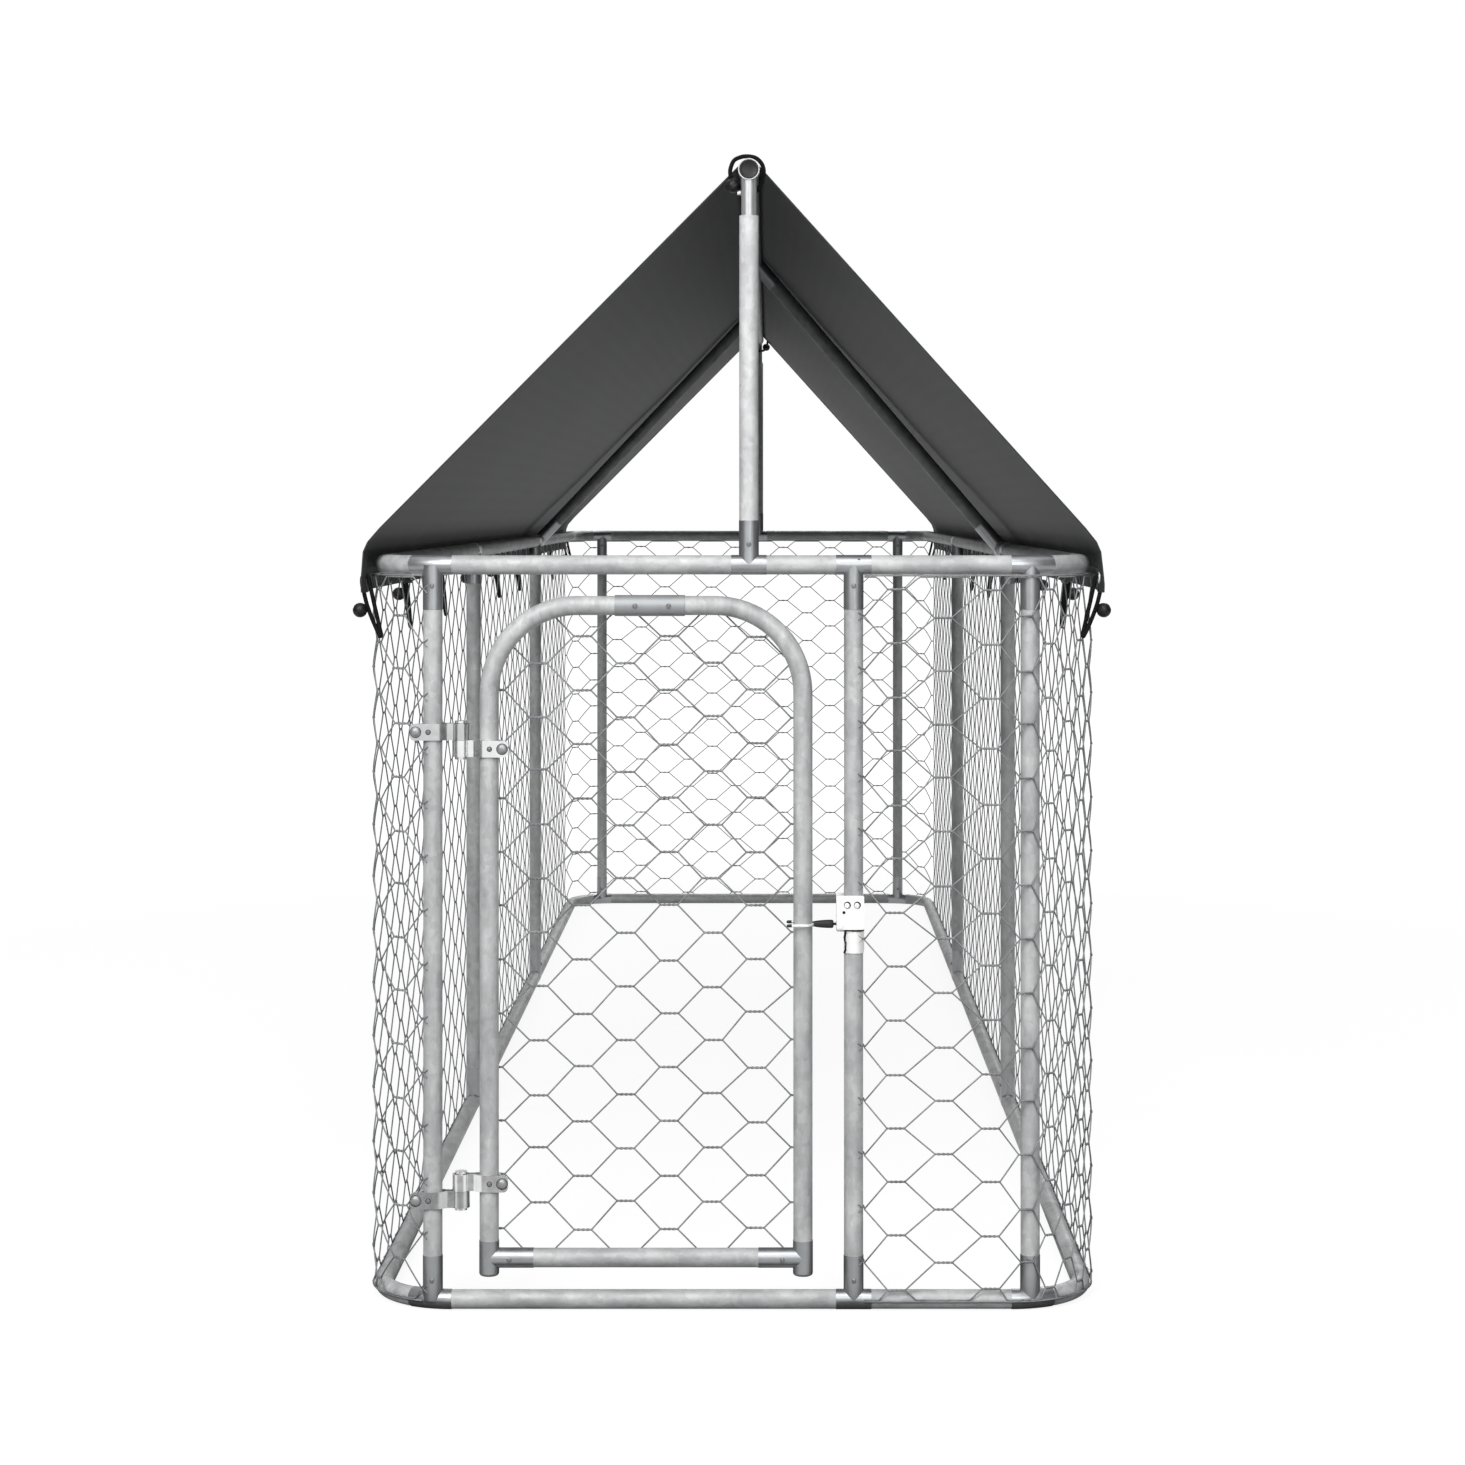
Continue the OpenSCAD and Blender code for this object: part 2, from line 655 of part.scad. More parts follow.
// Closed loop of cord in the XZ plane: half rings at both ends and two straight strands
module cord_loop(r, low, high) {
    translate([0, 0, high]) rotate([90, 0, 0]) rotate_extrude(angle = 180)
        translate([r, 0]) circle(d = bungee_d);
    translate([0, 0, low]) rotate([-90, 0, 0]) rotate_extrude(angle = 180)
        translate([r, 0]) circle(d = bungee_d);
    for (x = [-r, r]) translate([x, 0, low]) cylinder(d = bungee_d, h = high - low);
}

module bungee_loops() color(black) {
    at_eyelets() difference() {
        translate([loop_mid_x, 0, 0]) cord_loop(loop_r, loop_low, loop_top);
        translate([ball_x, 0, ball_z]) sphere(d = ball_d + 2 * fit_gap);
    }
    for (end = [-1, 1]) difference() {
        translate([ridge_x, end * ridge_loop_y, 0])
            cord_loop(ridge_loop_r, ridge_z - ridge_loop_drop, ridge_z);
        translate([ridge_x + end * ridge_loop_r, end * ridge_loop_y, ridge_z - ridge_loop_drop])
            sphere(d = ball_d + 2 * fit_gap);
    }
}

module bungee_balls() color(black) {
    at_eyelets() translate([ball_x, 0, ball_z]) sphere(d = ball_d);
    for (end = [-1, 1])
        translate([ridge_x + end * ridge_loop_r, end * ridge_loop_y, ridge_z - ridge_loop_drop]) sphere(d = ball_d);
}

// One bent tube of the door, from its foot over its top corner to the sleeve; side leans it over
module stile(x, side) color(galvanised) {
    foot = door_foot_z + tee_l / 2;
    corner = door_top_z - door_arch_r;
    reach = abs(sleeve_x - x) - door_arch_r - fit_gap;
    translate([x, front_y, 0]) mirror([side > 0 ? 0 : 1, 0, 0]) {
        translate([0, 0, foot]) {
            pipe(tube_d, neck_d, collar);
            translate([0, 0, -rail_spigot]) pipe(spigot_d, neck_d, rail_spigot);
            translate([0, 0, collar]) pipe(tube_d, socket_d, corner - foot - collar);
        }
        translate([door_arch_r, 0, corner]) rotate([90, 0, 0]) rotate([0, 0, 90]) rotate_extrude(angle = 90)
            translate([door_arch_r, 0]) difference() {
                circle(d = tube_d);
                circle(d = socket_d);
            }
        translate([door_arch_r, 0, door_top_z]) rotate([0, 90, 0]) pipe(tube_d, socket_d, reach);
    }
}

sleeve_screws = [-sleeve_l * 0.21, sleeve_l * 0.27];
sleeve_in = tube_d + 2 * fit_gap;
sleeve_out = sleeve_in + 2 * tube_wall;

module door_top_sleeve() color(zinc)
    translate([sleeve_x, front_y, door_top_z]) difference() {
        translate([-sleeve_l / 2, 0, 0]) rotate([0, 90, 0]) pipe(sleeve_out, sleeve_in, sleeve_l);
        for (x = sleeve_screws)
            translate([x, 0, 0]) rotate([90, 0, 0]) cylinder(d = screw_d + 2 * fit_gap, h = sleeve_out);
    }

module door_bottom_rail() color(galvanised)
    tube_between([stile_left_x + stem_l, front_y, door_foot_z], [stile_right_x - stem_l, front_y, door_foot_z],
        stem_spigot, stem_spigot);

// Bottom corner of the door: a tee on its side with a closed, rounded foot
module door_corner(x, turn) {
    translate([x, front_y, door_foot_z]) rotate([0, turn, 0]) children();
}

module door_corner_tees() color(zinc)
    for (end = [[stile_left_x, 90], [stile_right_x, -90]]) difference() {
        union() {
            door_corner(end[0], end[1]) tee();
            translate([end[0], front_y, door_foot_z - tee_l / 2]) cylinder(d = socket_d, h = foot_t);
        }
        translate([end[0], front_y, door_foot_z - tee_l / 2]) rotate_extrude() difference() {
            translate([fitting_d / 2 - foot_round, -ov]) square([foot_round + ov, foot_round + ov]);
            translate([fitting_d / 2 - foot_round, foot_round]) circle(r = foot_round);
        }
    }

module door_screws() color(bright_zinc) {
    door_corner(stile_left_x, 90) stem_screw();
    door_corner(stile_right_x, -90) stem_screw();
    for (x = sleeve_screws)
        translate([sleeve_x + x, front_y, door_top_z]) rotate([90, 0, 0])
            pan_screw(tube_d / 2 + fit_gap / 2, sleeve_out / 2);
}

// Door netting behind the tubes, rounded at the top like the door
module door_net() color(wire_grey) {
    inset = door_net_inset;
    w = stile_right_x - stile_left_x - 2 * inset;
    h = door_top_z - door_foot_z;
    r = door_arch_r - inset;
    arc = [for (i = [0 : 6]) r * [cos(15 * i), sin(15 * i)]];
    translate([stile_left_x + inset, front_y + net_out, door_foot_z - inset]) rotate([90, 0, 0])
        linear_extrude(net_t) {
            intersection() {
                difference() {
                    square([w, h]);
                    for (p = net_gaps(w, h, door_net_pitch, net_row, net_twist, net_wire)) polygon(p);
                }
                door_outline(w, h, arc, r);
            }
            difference() {
                door_outline(w, h, arc, r);
                translate([net_wire, net_wire])
                    door_outline(w - 2 * net_wire, h - 2 * net_wire, arc * (1 - net_wire / r), r - net_wire);
            }
        }
}

module door_outline(w, h, arc, r) {
    polygon(concat([[0, 0], [w, 0]], [for (q = arc) [w - r, h - r] + q],
        [for (i = [len(arc) - 1 : -1 : 0]) [r - arc[i].x, h - r + arc[i].y]]));
}

// Hinge leaf: a clamp round a tube at x with a barrel on the hinge axis and a bolted ear in front
module hinge_leaf(x, low, ear) {
    side = sign(x - hinge_x);
    h = leaf_h - leaf_gap;
    translate([0, front_y, low]) difference() {
        union() {
            translate([x, 0, 0]) cylinder(d = clamp_d, h = h);
            translate([hinge_x, 0, 0]) cylinder(d = barrel_d, h = h);
            translate([min(x, hinge_x), -barrel_d / 2 + strap_t, 0])
                cube([abs(x - hinge_x), barrel_d - 2 * strap_t, h]);
            translate([x + (side > 0 ? -ear_lap : -ear - ear_r), -ear_front, 0])
                cube([ear + ear_r + ear_lap, ear_t, h]);
        }
        translate([x, 0, -ov]) cylinder(d = tube_d + 2 * fit_gap, h = h + 2 * ov);
        translate([hinge_x, 0, -ov]) cylinder(d = hinge_pin_d + 2 * run_gap, h = h + 2 * ov);
        translate([x + side * ear, ov - ear_front + ear_t, h / 2]) rotate([90, 0, 0])
            cylinder(d = bolt_d + 2 * fit_gap, h = ear_t + 2 * ov);
    }
}

// Round head bolt through an ear, head towards -Y and a hexagon nut behind
module ear_bolt(x, low, ear) {
    side = sign(x - hinge_x);
    translate([x + side * ear, front_y - ear_front + ear_t / 2, low + (leaf_h - leaf_gap) / 2])
        rotate([90, 0, 0]) {
        translate([0, 0, -ear_t / 2 - bolt_d]) cylinder(d = bolt_d, h = ear_t + bolt_d + ov);
        translate([0, 0, ear_t / 2]) cylinder(d1 = bolt_head_d, d2 = bolt_head_d - 5, h = bolt_head_h);
        translate([0, 0, -ear_t / 2 - nut_h]) rotate([0, 0, 30]) cylinder(d = nut_d, h = nut_h, $fn = 6);
    }
}

upper_post_z = hinge_top_z;
upper_door_z = hinge_top_z - leaf_h;
lower_door_z = hinge_low_z;
lower_post_z = hinge_low_z - leaf_h;

module upper_post_hinge() color(bright_zinc) hinge_leaf(-post_x, upper_post_z, post_ear);
module lower_post_hinge() color(bright_zinc) hinge_leaf(-post_x, lower_post_z, post_ear);
module upper_door_hinge() color(bright_zinc) hinge_leaf(stile_left_x, upper_door_z, door_ear);
module lower_door_hinge() color(bright_zinc) hinge_leaf(stile_left_x, lower_door_z, door_ear);

module post_hinge_bolts() color(bright_zinc)
    for (z = [upper_post_z, lower_post_z]) ear_bolt(-post_x, z, post_ear);

module door_hinge_bolts() color(bright_zinc)
    for (z = [upper_door_z, lower_door_z]) ear_bolt(stile_left_x, z, door_ear);

// Pins through both leaves of each hinge, with a head above and below
module hinge_pins() color(zinc)
    for (split = [hinge_top_z, hinge_low_z])
        translate([hinge_x, front_y, split - leaf_h - leaf_gap]) {
            translate([0, 0, -pin_head_h]) cylinder(d = barrel_d - 5, h = pin_head_h);
            cylinder(d = hinge_pin_d, h = 2 * leaf_h + leaf_gap);
            translate([0, 0, 2 * leaf_h + leaf_gap]) cylinder(d = barrel_d - 5, h = pin_head_h);
        }

// Saddle round the middle post with a plate in front and one behind that hold the fork's pivot
module latch_bracket() color(bright_zinc)
    translate([0, front_y, 0]) difference() {
        union() {
            translate([mid_post_x, 0, saddle_top - saddle_h]) cylinder(d = clamp_d, h = saddle_h);
            for (face = [-plate_out, plate_in])
                translate([plate_left, face, saddle_top - 5])
                    cube([plate_right - plate_left, strap_t, plate_h + 5]);
            translate([mid_post_x, -plate_out, saddle_top - 5])
                cube([plate_right - mid_post_x, 2 * plate_out, 5]);
        }
        translate([mid_post_x, 0, saddle_top - saddle_h - ov])
            cylinder(d = tube_d + 2 * fit_gap, h = saddle_h + 2 * ov);
        translate([pivot_x, plate_out + ov, fork_z]) rotate([90, 0, 0])
            cylinder(d = pivot_d + 2 * fit_gap, h = 2 * plate_out + 2 * ov);
        for (x = plate_screws)
            translate([mid_post_x + x, -plate_in + ov, plate_screw_z]) rotate([90, 0, 0])
                cylinder(d = screw_d + 2 * fit_gap, h = strap_t + 2 * ov);
        translate([mid_post_x + plate_screws[0], -plate_in + ov, plate_screw_z - peep_drop]) rotate([90, 0, 0])
            cylinder(d = peep_d, h = strap_t + 2 * ov);
    }

module latch_screws() color(bright_zinc)
    for (x = plate_screws)
        translate([mid_post_x + x, front_y, plate_screw_z]) rotate([90, 0, 0])
            pan_screw(sqrt(pow(tube_d / 2, 2) - pow(x, 2)) + screw_d / 2, plate_out);

module latch_pivot() color(zinc)
    translate([pivot_x, front_y, fork_z]) rotate([90, 0, 0]) {
        translate([0, 0, -plate_out - 2]) cylinder(d = pivot_d, h = 2 * plate_out + 2);
        translate([0, 0, plate_out]) cylinder(d = pivot_d + 3, h = 2);
    }

// Fork: a barrel on the pivot, an arm, a cross bar and two tines that straddle the door's stile
module latch_fork() color(black)
    translate([pivot_x, front_y, fork_z]) difference() {
        union() {
            rotate([90, 0, 0]) translate([0, 0, -plate_in + 0.4])
                cylinder(d = fork_barrel_d, h = 2 * plate_in - 0.8);
            translate([fork_bar_x - pivot_x, -fork_arm / 2, -fork_arm / 2])
                cube([pivot_x - fork_bar_x, fork_arm, fork_arm]);
            translate([fork_bar_x - pivot_x, fork_bar_l / 2, 0]) rotate([90, 0, 0])
                cylinder(d = fork_bar_d, h = fork_bar_l);
            for (y = [-tine_y, tine_y])
                translate([-fork_reach, y, 0]) rotate([0, 90, 0])
                    cylinder(d = tine_d, h = fork_reach - (pivot_x - fork_bar_x));
        }
        rotate([90, 0, 0]) translate([0, 0, -plate_in]) cylinder(d = pivot_d + 2 * run_gap, h = 2 * plate_in);
    }

front_bottom_rail();
back_bottom_rail();
side_bottom_rail(-side_x);  // left_bottom_rail
side_bottom_rail(side_x);  // right_bottom_rail
front_top_rail();
back_top_rail();
left_top_rail();
right_top_rail();
bends(false);  // front_bends
bends(true);  // back_bends
front_corner_posts();
post(mid_post_x, front_y);  // middle_post
for (y = side_ys) post(-side_x, y);  // left_posts
for (y = side_ys) post(side_x, y);  // right_posts
for (x = [-post_x, post_x]) post(x, post_y);  // back_posts
front_tees(false);  // front_bottom_tees
front_tees(true);  // front_top_tees
back_tees();
side_tees(-1);  // left_tees
side_tees(1);  // right_tees
ridge_post(front_y);  // front_ridge_post
ridge_post(back_y);  // back_ridge_post
ridge_tubes();
ridge_tee(front_y);  // front_ridge_tee
ridge_tee(back_y);  // back_ridge_tee
ridge_end_caps();
rafter_tees();
rafter_feet();
rafter(side_x, rafter_right);  // right_rafter
rafter(-side_x, rafter_left);  // left_rafter
frame_screws();
left_net();
right_net();
back_net();
front_net();
corner_nets();
roof_cover();
roof_eyelets();
bungee_loops();
bungee_balls();
stile(stile_left_x, 1);  // door_left_stile
stile(stile_right_x, -1);  // door_right_stile
door_top_sleeve();
door_bottom_rail();
door_corner_tees();
door_net();
door_screws();
upper_door_hinge();
lower_door_hinge();
door_hinge_bolts();
upper_post_hinge();
lower_post_hinge();
post_hinge_bolts();
hinge_pins();
latch_bracket();
latch_screws();
latch_pivot();
latch_fork();
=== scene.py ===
"""Looks of an outdoor dog kennel run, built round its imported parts.

Lengths are in millimetres until a mesh is made."""

import json
import math
import random

import bmesh
import bpy
import numpy as np
from mathutils import Matrix, Vector


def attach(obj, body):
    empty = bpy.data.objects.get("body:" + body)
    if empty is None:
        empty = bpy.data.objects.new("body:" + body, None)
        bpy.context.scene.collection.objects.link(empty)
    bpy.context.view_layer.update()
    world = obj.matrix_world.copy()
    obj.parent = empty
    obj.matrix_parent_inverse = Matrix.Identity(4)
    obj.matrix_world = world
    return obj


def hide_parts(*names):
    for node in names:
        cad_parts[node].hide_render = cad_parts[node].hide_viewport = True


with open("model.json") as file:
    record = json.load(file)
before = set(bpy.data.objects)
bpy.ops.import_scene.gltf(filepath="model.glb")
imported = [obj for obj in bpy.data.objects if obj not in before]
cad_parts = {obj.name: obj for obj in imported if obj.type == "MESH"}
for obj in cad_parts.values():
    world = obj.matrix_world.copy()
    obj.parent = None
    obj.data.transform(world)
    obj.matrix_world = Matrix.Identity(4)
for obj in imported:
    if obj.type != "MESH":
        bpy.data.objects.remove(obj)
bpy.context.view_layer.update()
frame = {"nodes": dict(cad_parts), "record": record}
nodes = frame["nodes"]

MM = 0.001

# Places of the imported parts, in the frame of the run
FRONT_Y = -1987.5
SIDE_X = 464.5
LOW_Z = 13.0
TOP_Z = 970.0
BEND_R = 100.0
BEND_X = SIDE_X - BEND_R
BEND_Y = -FRONT_Y - BEND_R
POST_X = 389.5
POST_Y = BEND_Y + math.sqrt(BEND_R ** 2 - (POST_X - BEND_X) ** 2)
MID_POST_X = 159.0
SIDE_POSTS_Y = (FRONT_Y + 1300, FRONT_Y + 2675)
RIDGE_X = 22.5
RIDGE_Z = 1485.0
RIDGE_END = 1999.5
FITTING_R = 13.0
STEM_SCREW = 27.0
DOOR_LEFT = -316.0
DOOR_RIGHT = 93.0
DOOR_FOOT = 67.0
DOOR_TOP = 917.0
DOOR_ARCH = 115.0
HINGE_X = -352.75
POST_LEAF_Z = (752.85, 143.85)
SHEET_L = 3925.0
EYELET_Z = 952.8
LAST_EYELET = 1947.5
EYELET_ROW = [-LAST_EYELET + i * LAST_EYELET / 4 for i in range(9)]
EYELET_X = 483.4
SKIRT_X = 485.6
FOLD_Z = 997.0
HEM_Z = 936.0


# Mesh making


def sweep(path, radius, sides, up, closed=False):
    """Round bar along a path: corner points and faces. up is a direction, or one for each point."""
    path = np.asarray(path, float)
    count = len(path)
    if closed:
        along = np.roll(path, -1, 0) - np.roll(path, 1, 0)
    else:
        along = np.gradient(path, axis=0)
    along /= np.linalg.norm(along, axis=1)[:, None]
    across = np.cross(along, np.broadcast_to(np.asarray(up, float), path.shape))
    across /= np.linalg.norm(across, axis=1)[:, None]
    out = np.cross(across, along)
    turn = np.linspace(0, 2 * math.pi, sides, endpoint=False)
    radius = np.broadcast_to(np.asarray(radius, float), (count,))[:, None, None]
    ring = across[:, None] * np.cos(turn)[None, :, None] + out[:, None] * np.sin(turn)[None, :, None]
    points = (path[:, None] + radius * ring).reshape(-1, 3)
    near = np.arange(count if closed else count - 1)[:, None] * sides
    far = (near + sides) % (count * sides)
    step = np.arange(sides)
    after = (step + 1) % sides
    faces = np.stack([near + step, far + step, far + after, near + after], -1).reshape(-1, 4).tolist()
    if not closed:
        faces.append(list(range(sides)))
        faces.append(list(range((count - 1) * sides, count * sides))[::-1])
    return points, faces


def strap(path, half, thick, mid):
    """Strip of sheet steel bent on edge: a plan path, half heights along it and a middle height."""
    path = np.asarray(path, float)
    half = np.broadcast_to(np.asarray(half, float), (len(path),))
    along = np.gradient(path, axis=0)
    along /= np.linalg.norm(along, axis=1)[:, None]
    side = np.stack([-along[:, 1], along[:, 0]], 1) * thick / 2
    corners = []
    for way, lift in ((1, 1), (1, -1), (-1, -1), (-1, 1)):
        corners.append(np.column_stack([path + way * side, mid + lift * half]))
    points = np.stack(corners, 1).reshape(-1, 3)
    faces = []
    for i in range(len(path) - 1):
        a, b = 4 * i, 4 * i + 4
        faces += [[a + j, a + (j + 1) % 4, b + (j + 1) % 4, b + j] for j in range(4)]
    last = 4 * (len(path) - 1)
    faces += [[3, 2, 1, 0], [last, last + 1, last + 2, last + 3]]
    return points, faces


def plate(outline, y_from, y_to):
    """Flat plate with an outline of X and Z, between two depths."""
    count = len(outline)
    points = [(x, y, z) for y in (y_from, y_to) for x, z in outline]
    faces = [list(range(count)), list(range(count, 2 * count))[::-1]]
    faces += [[i, i + count, (i + 1) % count + count, (i + 1) % count] for i in range(count)]
    return np.array(points, float), faces


def round_box(x_from, x_to, z_from, z_to, r, steps=5):
    """Outline of a rectangle with round corners."""
    outline = []
    for cx, cz, start in ((x_to - r, z_to - r, 0), (x_from + r, z_to - r, 90), (x_from + r, z_from + r, 180),
                          (x_to - r, z_from + r, 270)):
        for i in range(steps + 1):
            a = math.radians(start + 90 * i / steps)
            outline.append((cx + r * math.cos(a), cz + r * math.sin(a)))
    return outline


def lathe(profile, sides, origin, axis):
    """Solid of revolution about an axis through origin. profile holds rows of radius and height."""
    turn = Vector((0, 0, 1)).rotation_difference(Vector(axis)).to_matrix()
    angles = np.linspace(0, 2 * math.pi, sides, endpoint=False)
    points, rings = [], []
    for radius, height in profile:
        if radius < 1e-6:
            rings.append([len(points)] * sides)
            points.append((0, 0, height))
        else:
            rings.append(list(range(len(points), len(points) + sides)))
            points += [(radius * math.cos(a), radius * math.sin(a), height) for a in angles]
    faces = []
    for low, high in zip(rings, rings[1:]):
        for i in range(sides):
            j = (i + 1) % sides
            corner = [low[i], low[j], high[j], high[i]]
            faces.append(list(dict.fromkeys(corner)))
    points = np.array(points) @ np.array(turn).T + np.array(origin)
    return points, [f for f in faces if len(f) > 2]


def arc(r, first, last, step):
    """Points on a circle of radius r about the origin, at angles in degrees from first up to last."""
    angles = [math.radians(a) for a in range(first, last, step)]
    return [(r * math.cos(a), r * math.sin(a)) for a in angles]


def join(parts):
    """One set of points and faces from several."""
    points, faces, start = [], [], 0
    for part_points, part_faces in parts:
        points.append(part_points)
        faces += [[i + start for i in face] for face in part_faces]
        start += len(part_points)
    return np.concatenate(points), faces


def piece(name, shape, material, body, replaced=(), crease=None):
    """Object from points in millimetres, smooth except at edges sharper than crease degrees."""
    points, faces = shape
    mesh = bpy.data.meshes.new(name)
    mesh.from_pydata((np.asarray(points) * MM).tolist(), [], faces)
    mesh.validate()
    if crease:
        facing = bmesh.new()
        facing.from_mesh(mesh)
        bmesh.ops.recalc_face_normals(facing, faces=facing.faces)
        facing.to_mesh(mesh)
        facing.free()
    mesh.polygons.foreach_set("use_smooth", [True] * len(mesh.polygons))
    if crease:
        mesh.set_sharp_from_angle(angle=math.radians(crease))
    mesh.materials.append(material)
    made = bpy.data.objects.new(name, mesh)
    bpy.context.scene.collection.objects.link(made)
    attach(made, body)
    if replaced:
        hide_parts(*replaced)
    return made


# Materials


def srgb(code):
    """Linear colour of an sRGB hex value."""
    parts = [int(code[i : i + 2], 16) / 255 for i in (1, 3, 5)]
    return tuple(c / 12.92 if c <= 0.04045 else ((c + 0.055) / 1.055) ** 2.4 for c in parts) + (1.0,)


def per_metre(size):
    """Texture scale that gives features of a size in millimetres."""
    return 1000.0 / size


def add(tree, kind, inputs=(), **settings):
    """Adds a node. An input is a value, or the socket of another node that feeds it."""
    node = tree.nodes.new(kind)
    for name, value in settings.items():
        setattr(node, name, value)
    for name, value in dict(inputs).items():
        if isinstance(value, bpy.types.NodeSocket):
            tree.links.new(value, node.inputs[name])
        else:
            node.inputs[name].default_value = value
    return node


# Sockets of a colour mix, and the settings of one that blends two tones or multiplies them
MIX_RESULT = 2
MIX_A = 6
MIX_B = 7
BLEND = {"data_type": "RGBA"}
MULTIPLY = {"data_type": "RGBA", "blend_type": "MULTIPLY"}


def new_material(name):
    """Material with no nodes yet, and its tree."""
    material = bpy.data.materials.new(name)
    material.use_nodes = True
    material.node_tree.nodes.clear()
    return material, material.node_tree


def galvanised_steel(name, dark, light, metal, rough, blotch_size, spangle_size, drawn=(1.0, 1.0, 1.0)):
    """Hot-dip zinc skin: cloudy grey blotches under a fine spangle, dull with a soft gleam.
    On tube the blotches are pulled out along the length that drawn makes small."""
    material, tree = new_material(name)
    place = add(tree, "ShaderNodeTexCoord").outputs["Object"]
    along = add(tree, "ShaderNodeVectorMath", {0: place, 1: drawn}, operation="MULTIPLY").outputs[0]
    noise = {"Vector": along, "Scale": per_metre(blotch_size), "Detail": 5.0, "Roughness": 0.62}
    blotch = add(tree, "ShaderNodeTexNoise", noise).outputs[0]
    cloud = add(tree, "ShaderNodeMapRange", {"Value": blotch, "From Min": 0.32, "From Max": 0.68}).outputs[0]
    spangle = add(tree, "ShaderNodeTexVoronoi", {"Vector": place, "Scale": per_metre(spangle_size)})
    flake = add(tree, "ShaderNodeSeparateColor", {"Color": spangle.outputs["Color"]}).outputs
    tone = add(tree, "ShaderNodeMix", {0: cloud, MIX_A: srgb(dark), MIX_B: srgb(light)}, **BLEND)
    shade = add(tree, "ShaderNodeMapRange", {"Value": flake[0], "To Min": 0.9, "To Max": 1.07}).outputs[0]
    zinc = add(tree, "ShaderNodeMix", {0: 1.0, MIX_A: tone.outputs[MIX_RESULT], MIX_B: shade}, **MULTIPLY)
    dull = {"Value": flake[1], "To Min": rough - 0.07, "To Max": rough + 0.07}
    relief = {"Height": blotch, "Strength": 0.12, "Distance": 0.4 * MM}
    skin = add(tree, "ShaderNodeBsdfPrincipled", {
        "Base Color": zinc.outputs[MIX_RESULT],
        "Metallic": metal,
        "Roughness": add(tree, "ShaderNodeMapRange", dull).outputs[0],
        "Normal": add(tree, "ShaderNodeBump", relief).outputs[0],
    })
    add(tree, "ShaderNodeOutputMaterial", {"Surface": skin.outputs[0]})
    return material


def plated_steel(name, dark, light, metal, rough, smear_size):
    """Electroplated zinc on pressed steel: smooth and bright, with faint smears and handling marks."""
    material, tree = new_material(name)
    place = add(tree, "ShaderNodeTexCoord").outputs["Object"]
    noise = {"Vector": place, "Scale": per_metre(smear_size), "Detail": 3.0, "Distortion": 0.6}
    smear = add(tree, "ShaderNodeTexNoise", noise).outputs[0]
    tone = add(tree, "ShaderNodeMix", {0: smear, MIX_A: srgb(dark), MIX_B: srgb(light)}, **BLEND)
    dull = {"Value": smear, "To Min": rough - 0.08, "To Max": rough + 0.08}
    skin = add(tree, "ShaderNodeBsdfPrincipled", {
        "Base Color": tone.outputs[MIX_RESULT],
        "Metallic": metal,
        "Roughness": add(tree, "ShaderNodeMapRange", dull).outputs[0],
    })
    add(tree, "ShaderNodeOutputMaterial", {"Surface": skin.outputs[0]})
    return material


def coated_weave(name, dark, light, thread):
    """Coated polyester weave: matt dark grey with a plain weave under the coating.
    The real threads are about 0.6 mm apart, so the weave is drawn coarser to show at all."""
    material, tree = new_material(name)
    place = add(tree, "ShaderNodeTexCoord").outputs["Object"]
    stripes = {"Vector": place, "Scale": per_metre(thread) / 20, "Distortion": 0.3}
    warp = add(tree, "ShaderNodeTexWave", stripes, bands_direction="Y").outputs[1]
    weft = add(tree, "ShaderNodeTexWave", stripes, bands_direction="Z").outputs[1]
    weave = add(tree, "ShaderNodeMath", {0: warp, 1: weft}, operation="MULTIPLY").outputs[0]
    noise = {"Vector": place, "Scale": per_metre(160), "Detail": 4.0}
    cloud = add(tree, "ShaderNodeTexNoise", noise).outputs[0]
    tone = add(tree, "ShaderNodeMix", {0: cloud, MIX_A: srgb(dark), MIX_B: srgb(light)}, **BLEND)
    shade = add(tree, "ShaderNodeMapRange", {"Value": weave, "To Min": 0.9, "To Max": 1.08}).outputs[0]
    cloth = add(tree, "ShaderNodeMix", {0: 1.0, MIX_A: tone.outputs[MIX_RESULT], MIX_B: shade}, **MULTIPLY)
    relief = {"Height": weave, "Strength": 0.25, "Distance": 0.4 * MM}
    skin = add(tree, "ShaderNodeBsdfPrincipled", {
        "Base Color": cloth.outputs[MIX_RESULT],
        "Roughness": 0.62,
        "Specular IOR Level": 0.15,
        "Normal": add(tree, "ShaderNodeBump", relief).outputs[0],
    })
    add(tree, "ShaderNodeOutputMaterial", {"Surface": skin.outputs[0]})
    return material


def braided_cord(name, dark, light, braid):
    """Polyester braid over a rubber core: black, matt, with the plait just visible."""
    material, tree = new_material(name)
    place = add(tree, "ShaderNodeTexCoord").outputs["Object"]
    plait = add(tree, "ShaderNodeTexVoronoi", {"Vector": place, "Scale": per_metre(braid)}).outputs[0]
    tone = add(tree, "ShaderNodeMix", {0: plait, MIX_A: srgb(light), MIX_B: srgb(dark)}, **BLEND)
    relief = {"Height": plait, "Strength": 0.4, "Distance": 0.3 * MM}
    skin = add(tree, "ShaderNodeBsdfPrincipled", {
        "Base Color": tone.outputs[MIX_RESULT],
        "Roughness": 0.75,
        "Specular IOR Level": 0.1,
        "Normal": add(tree, "ShaderNodeBump", relief).outputs[0],
    })
    add(tree, "ShaderNodeOutputMaterial", {"Surface": skin.outputs[0]})
    return material


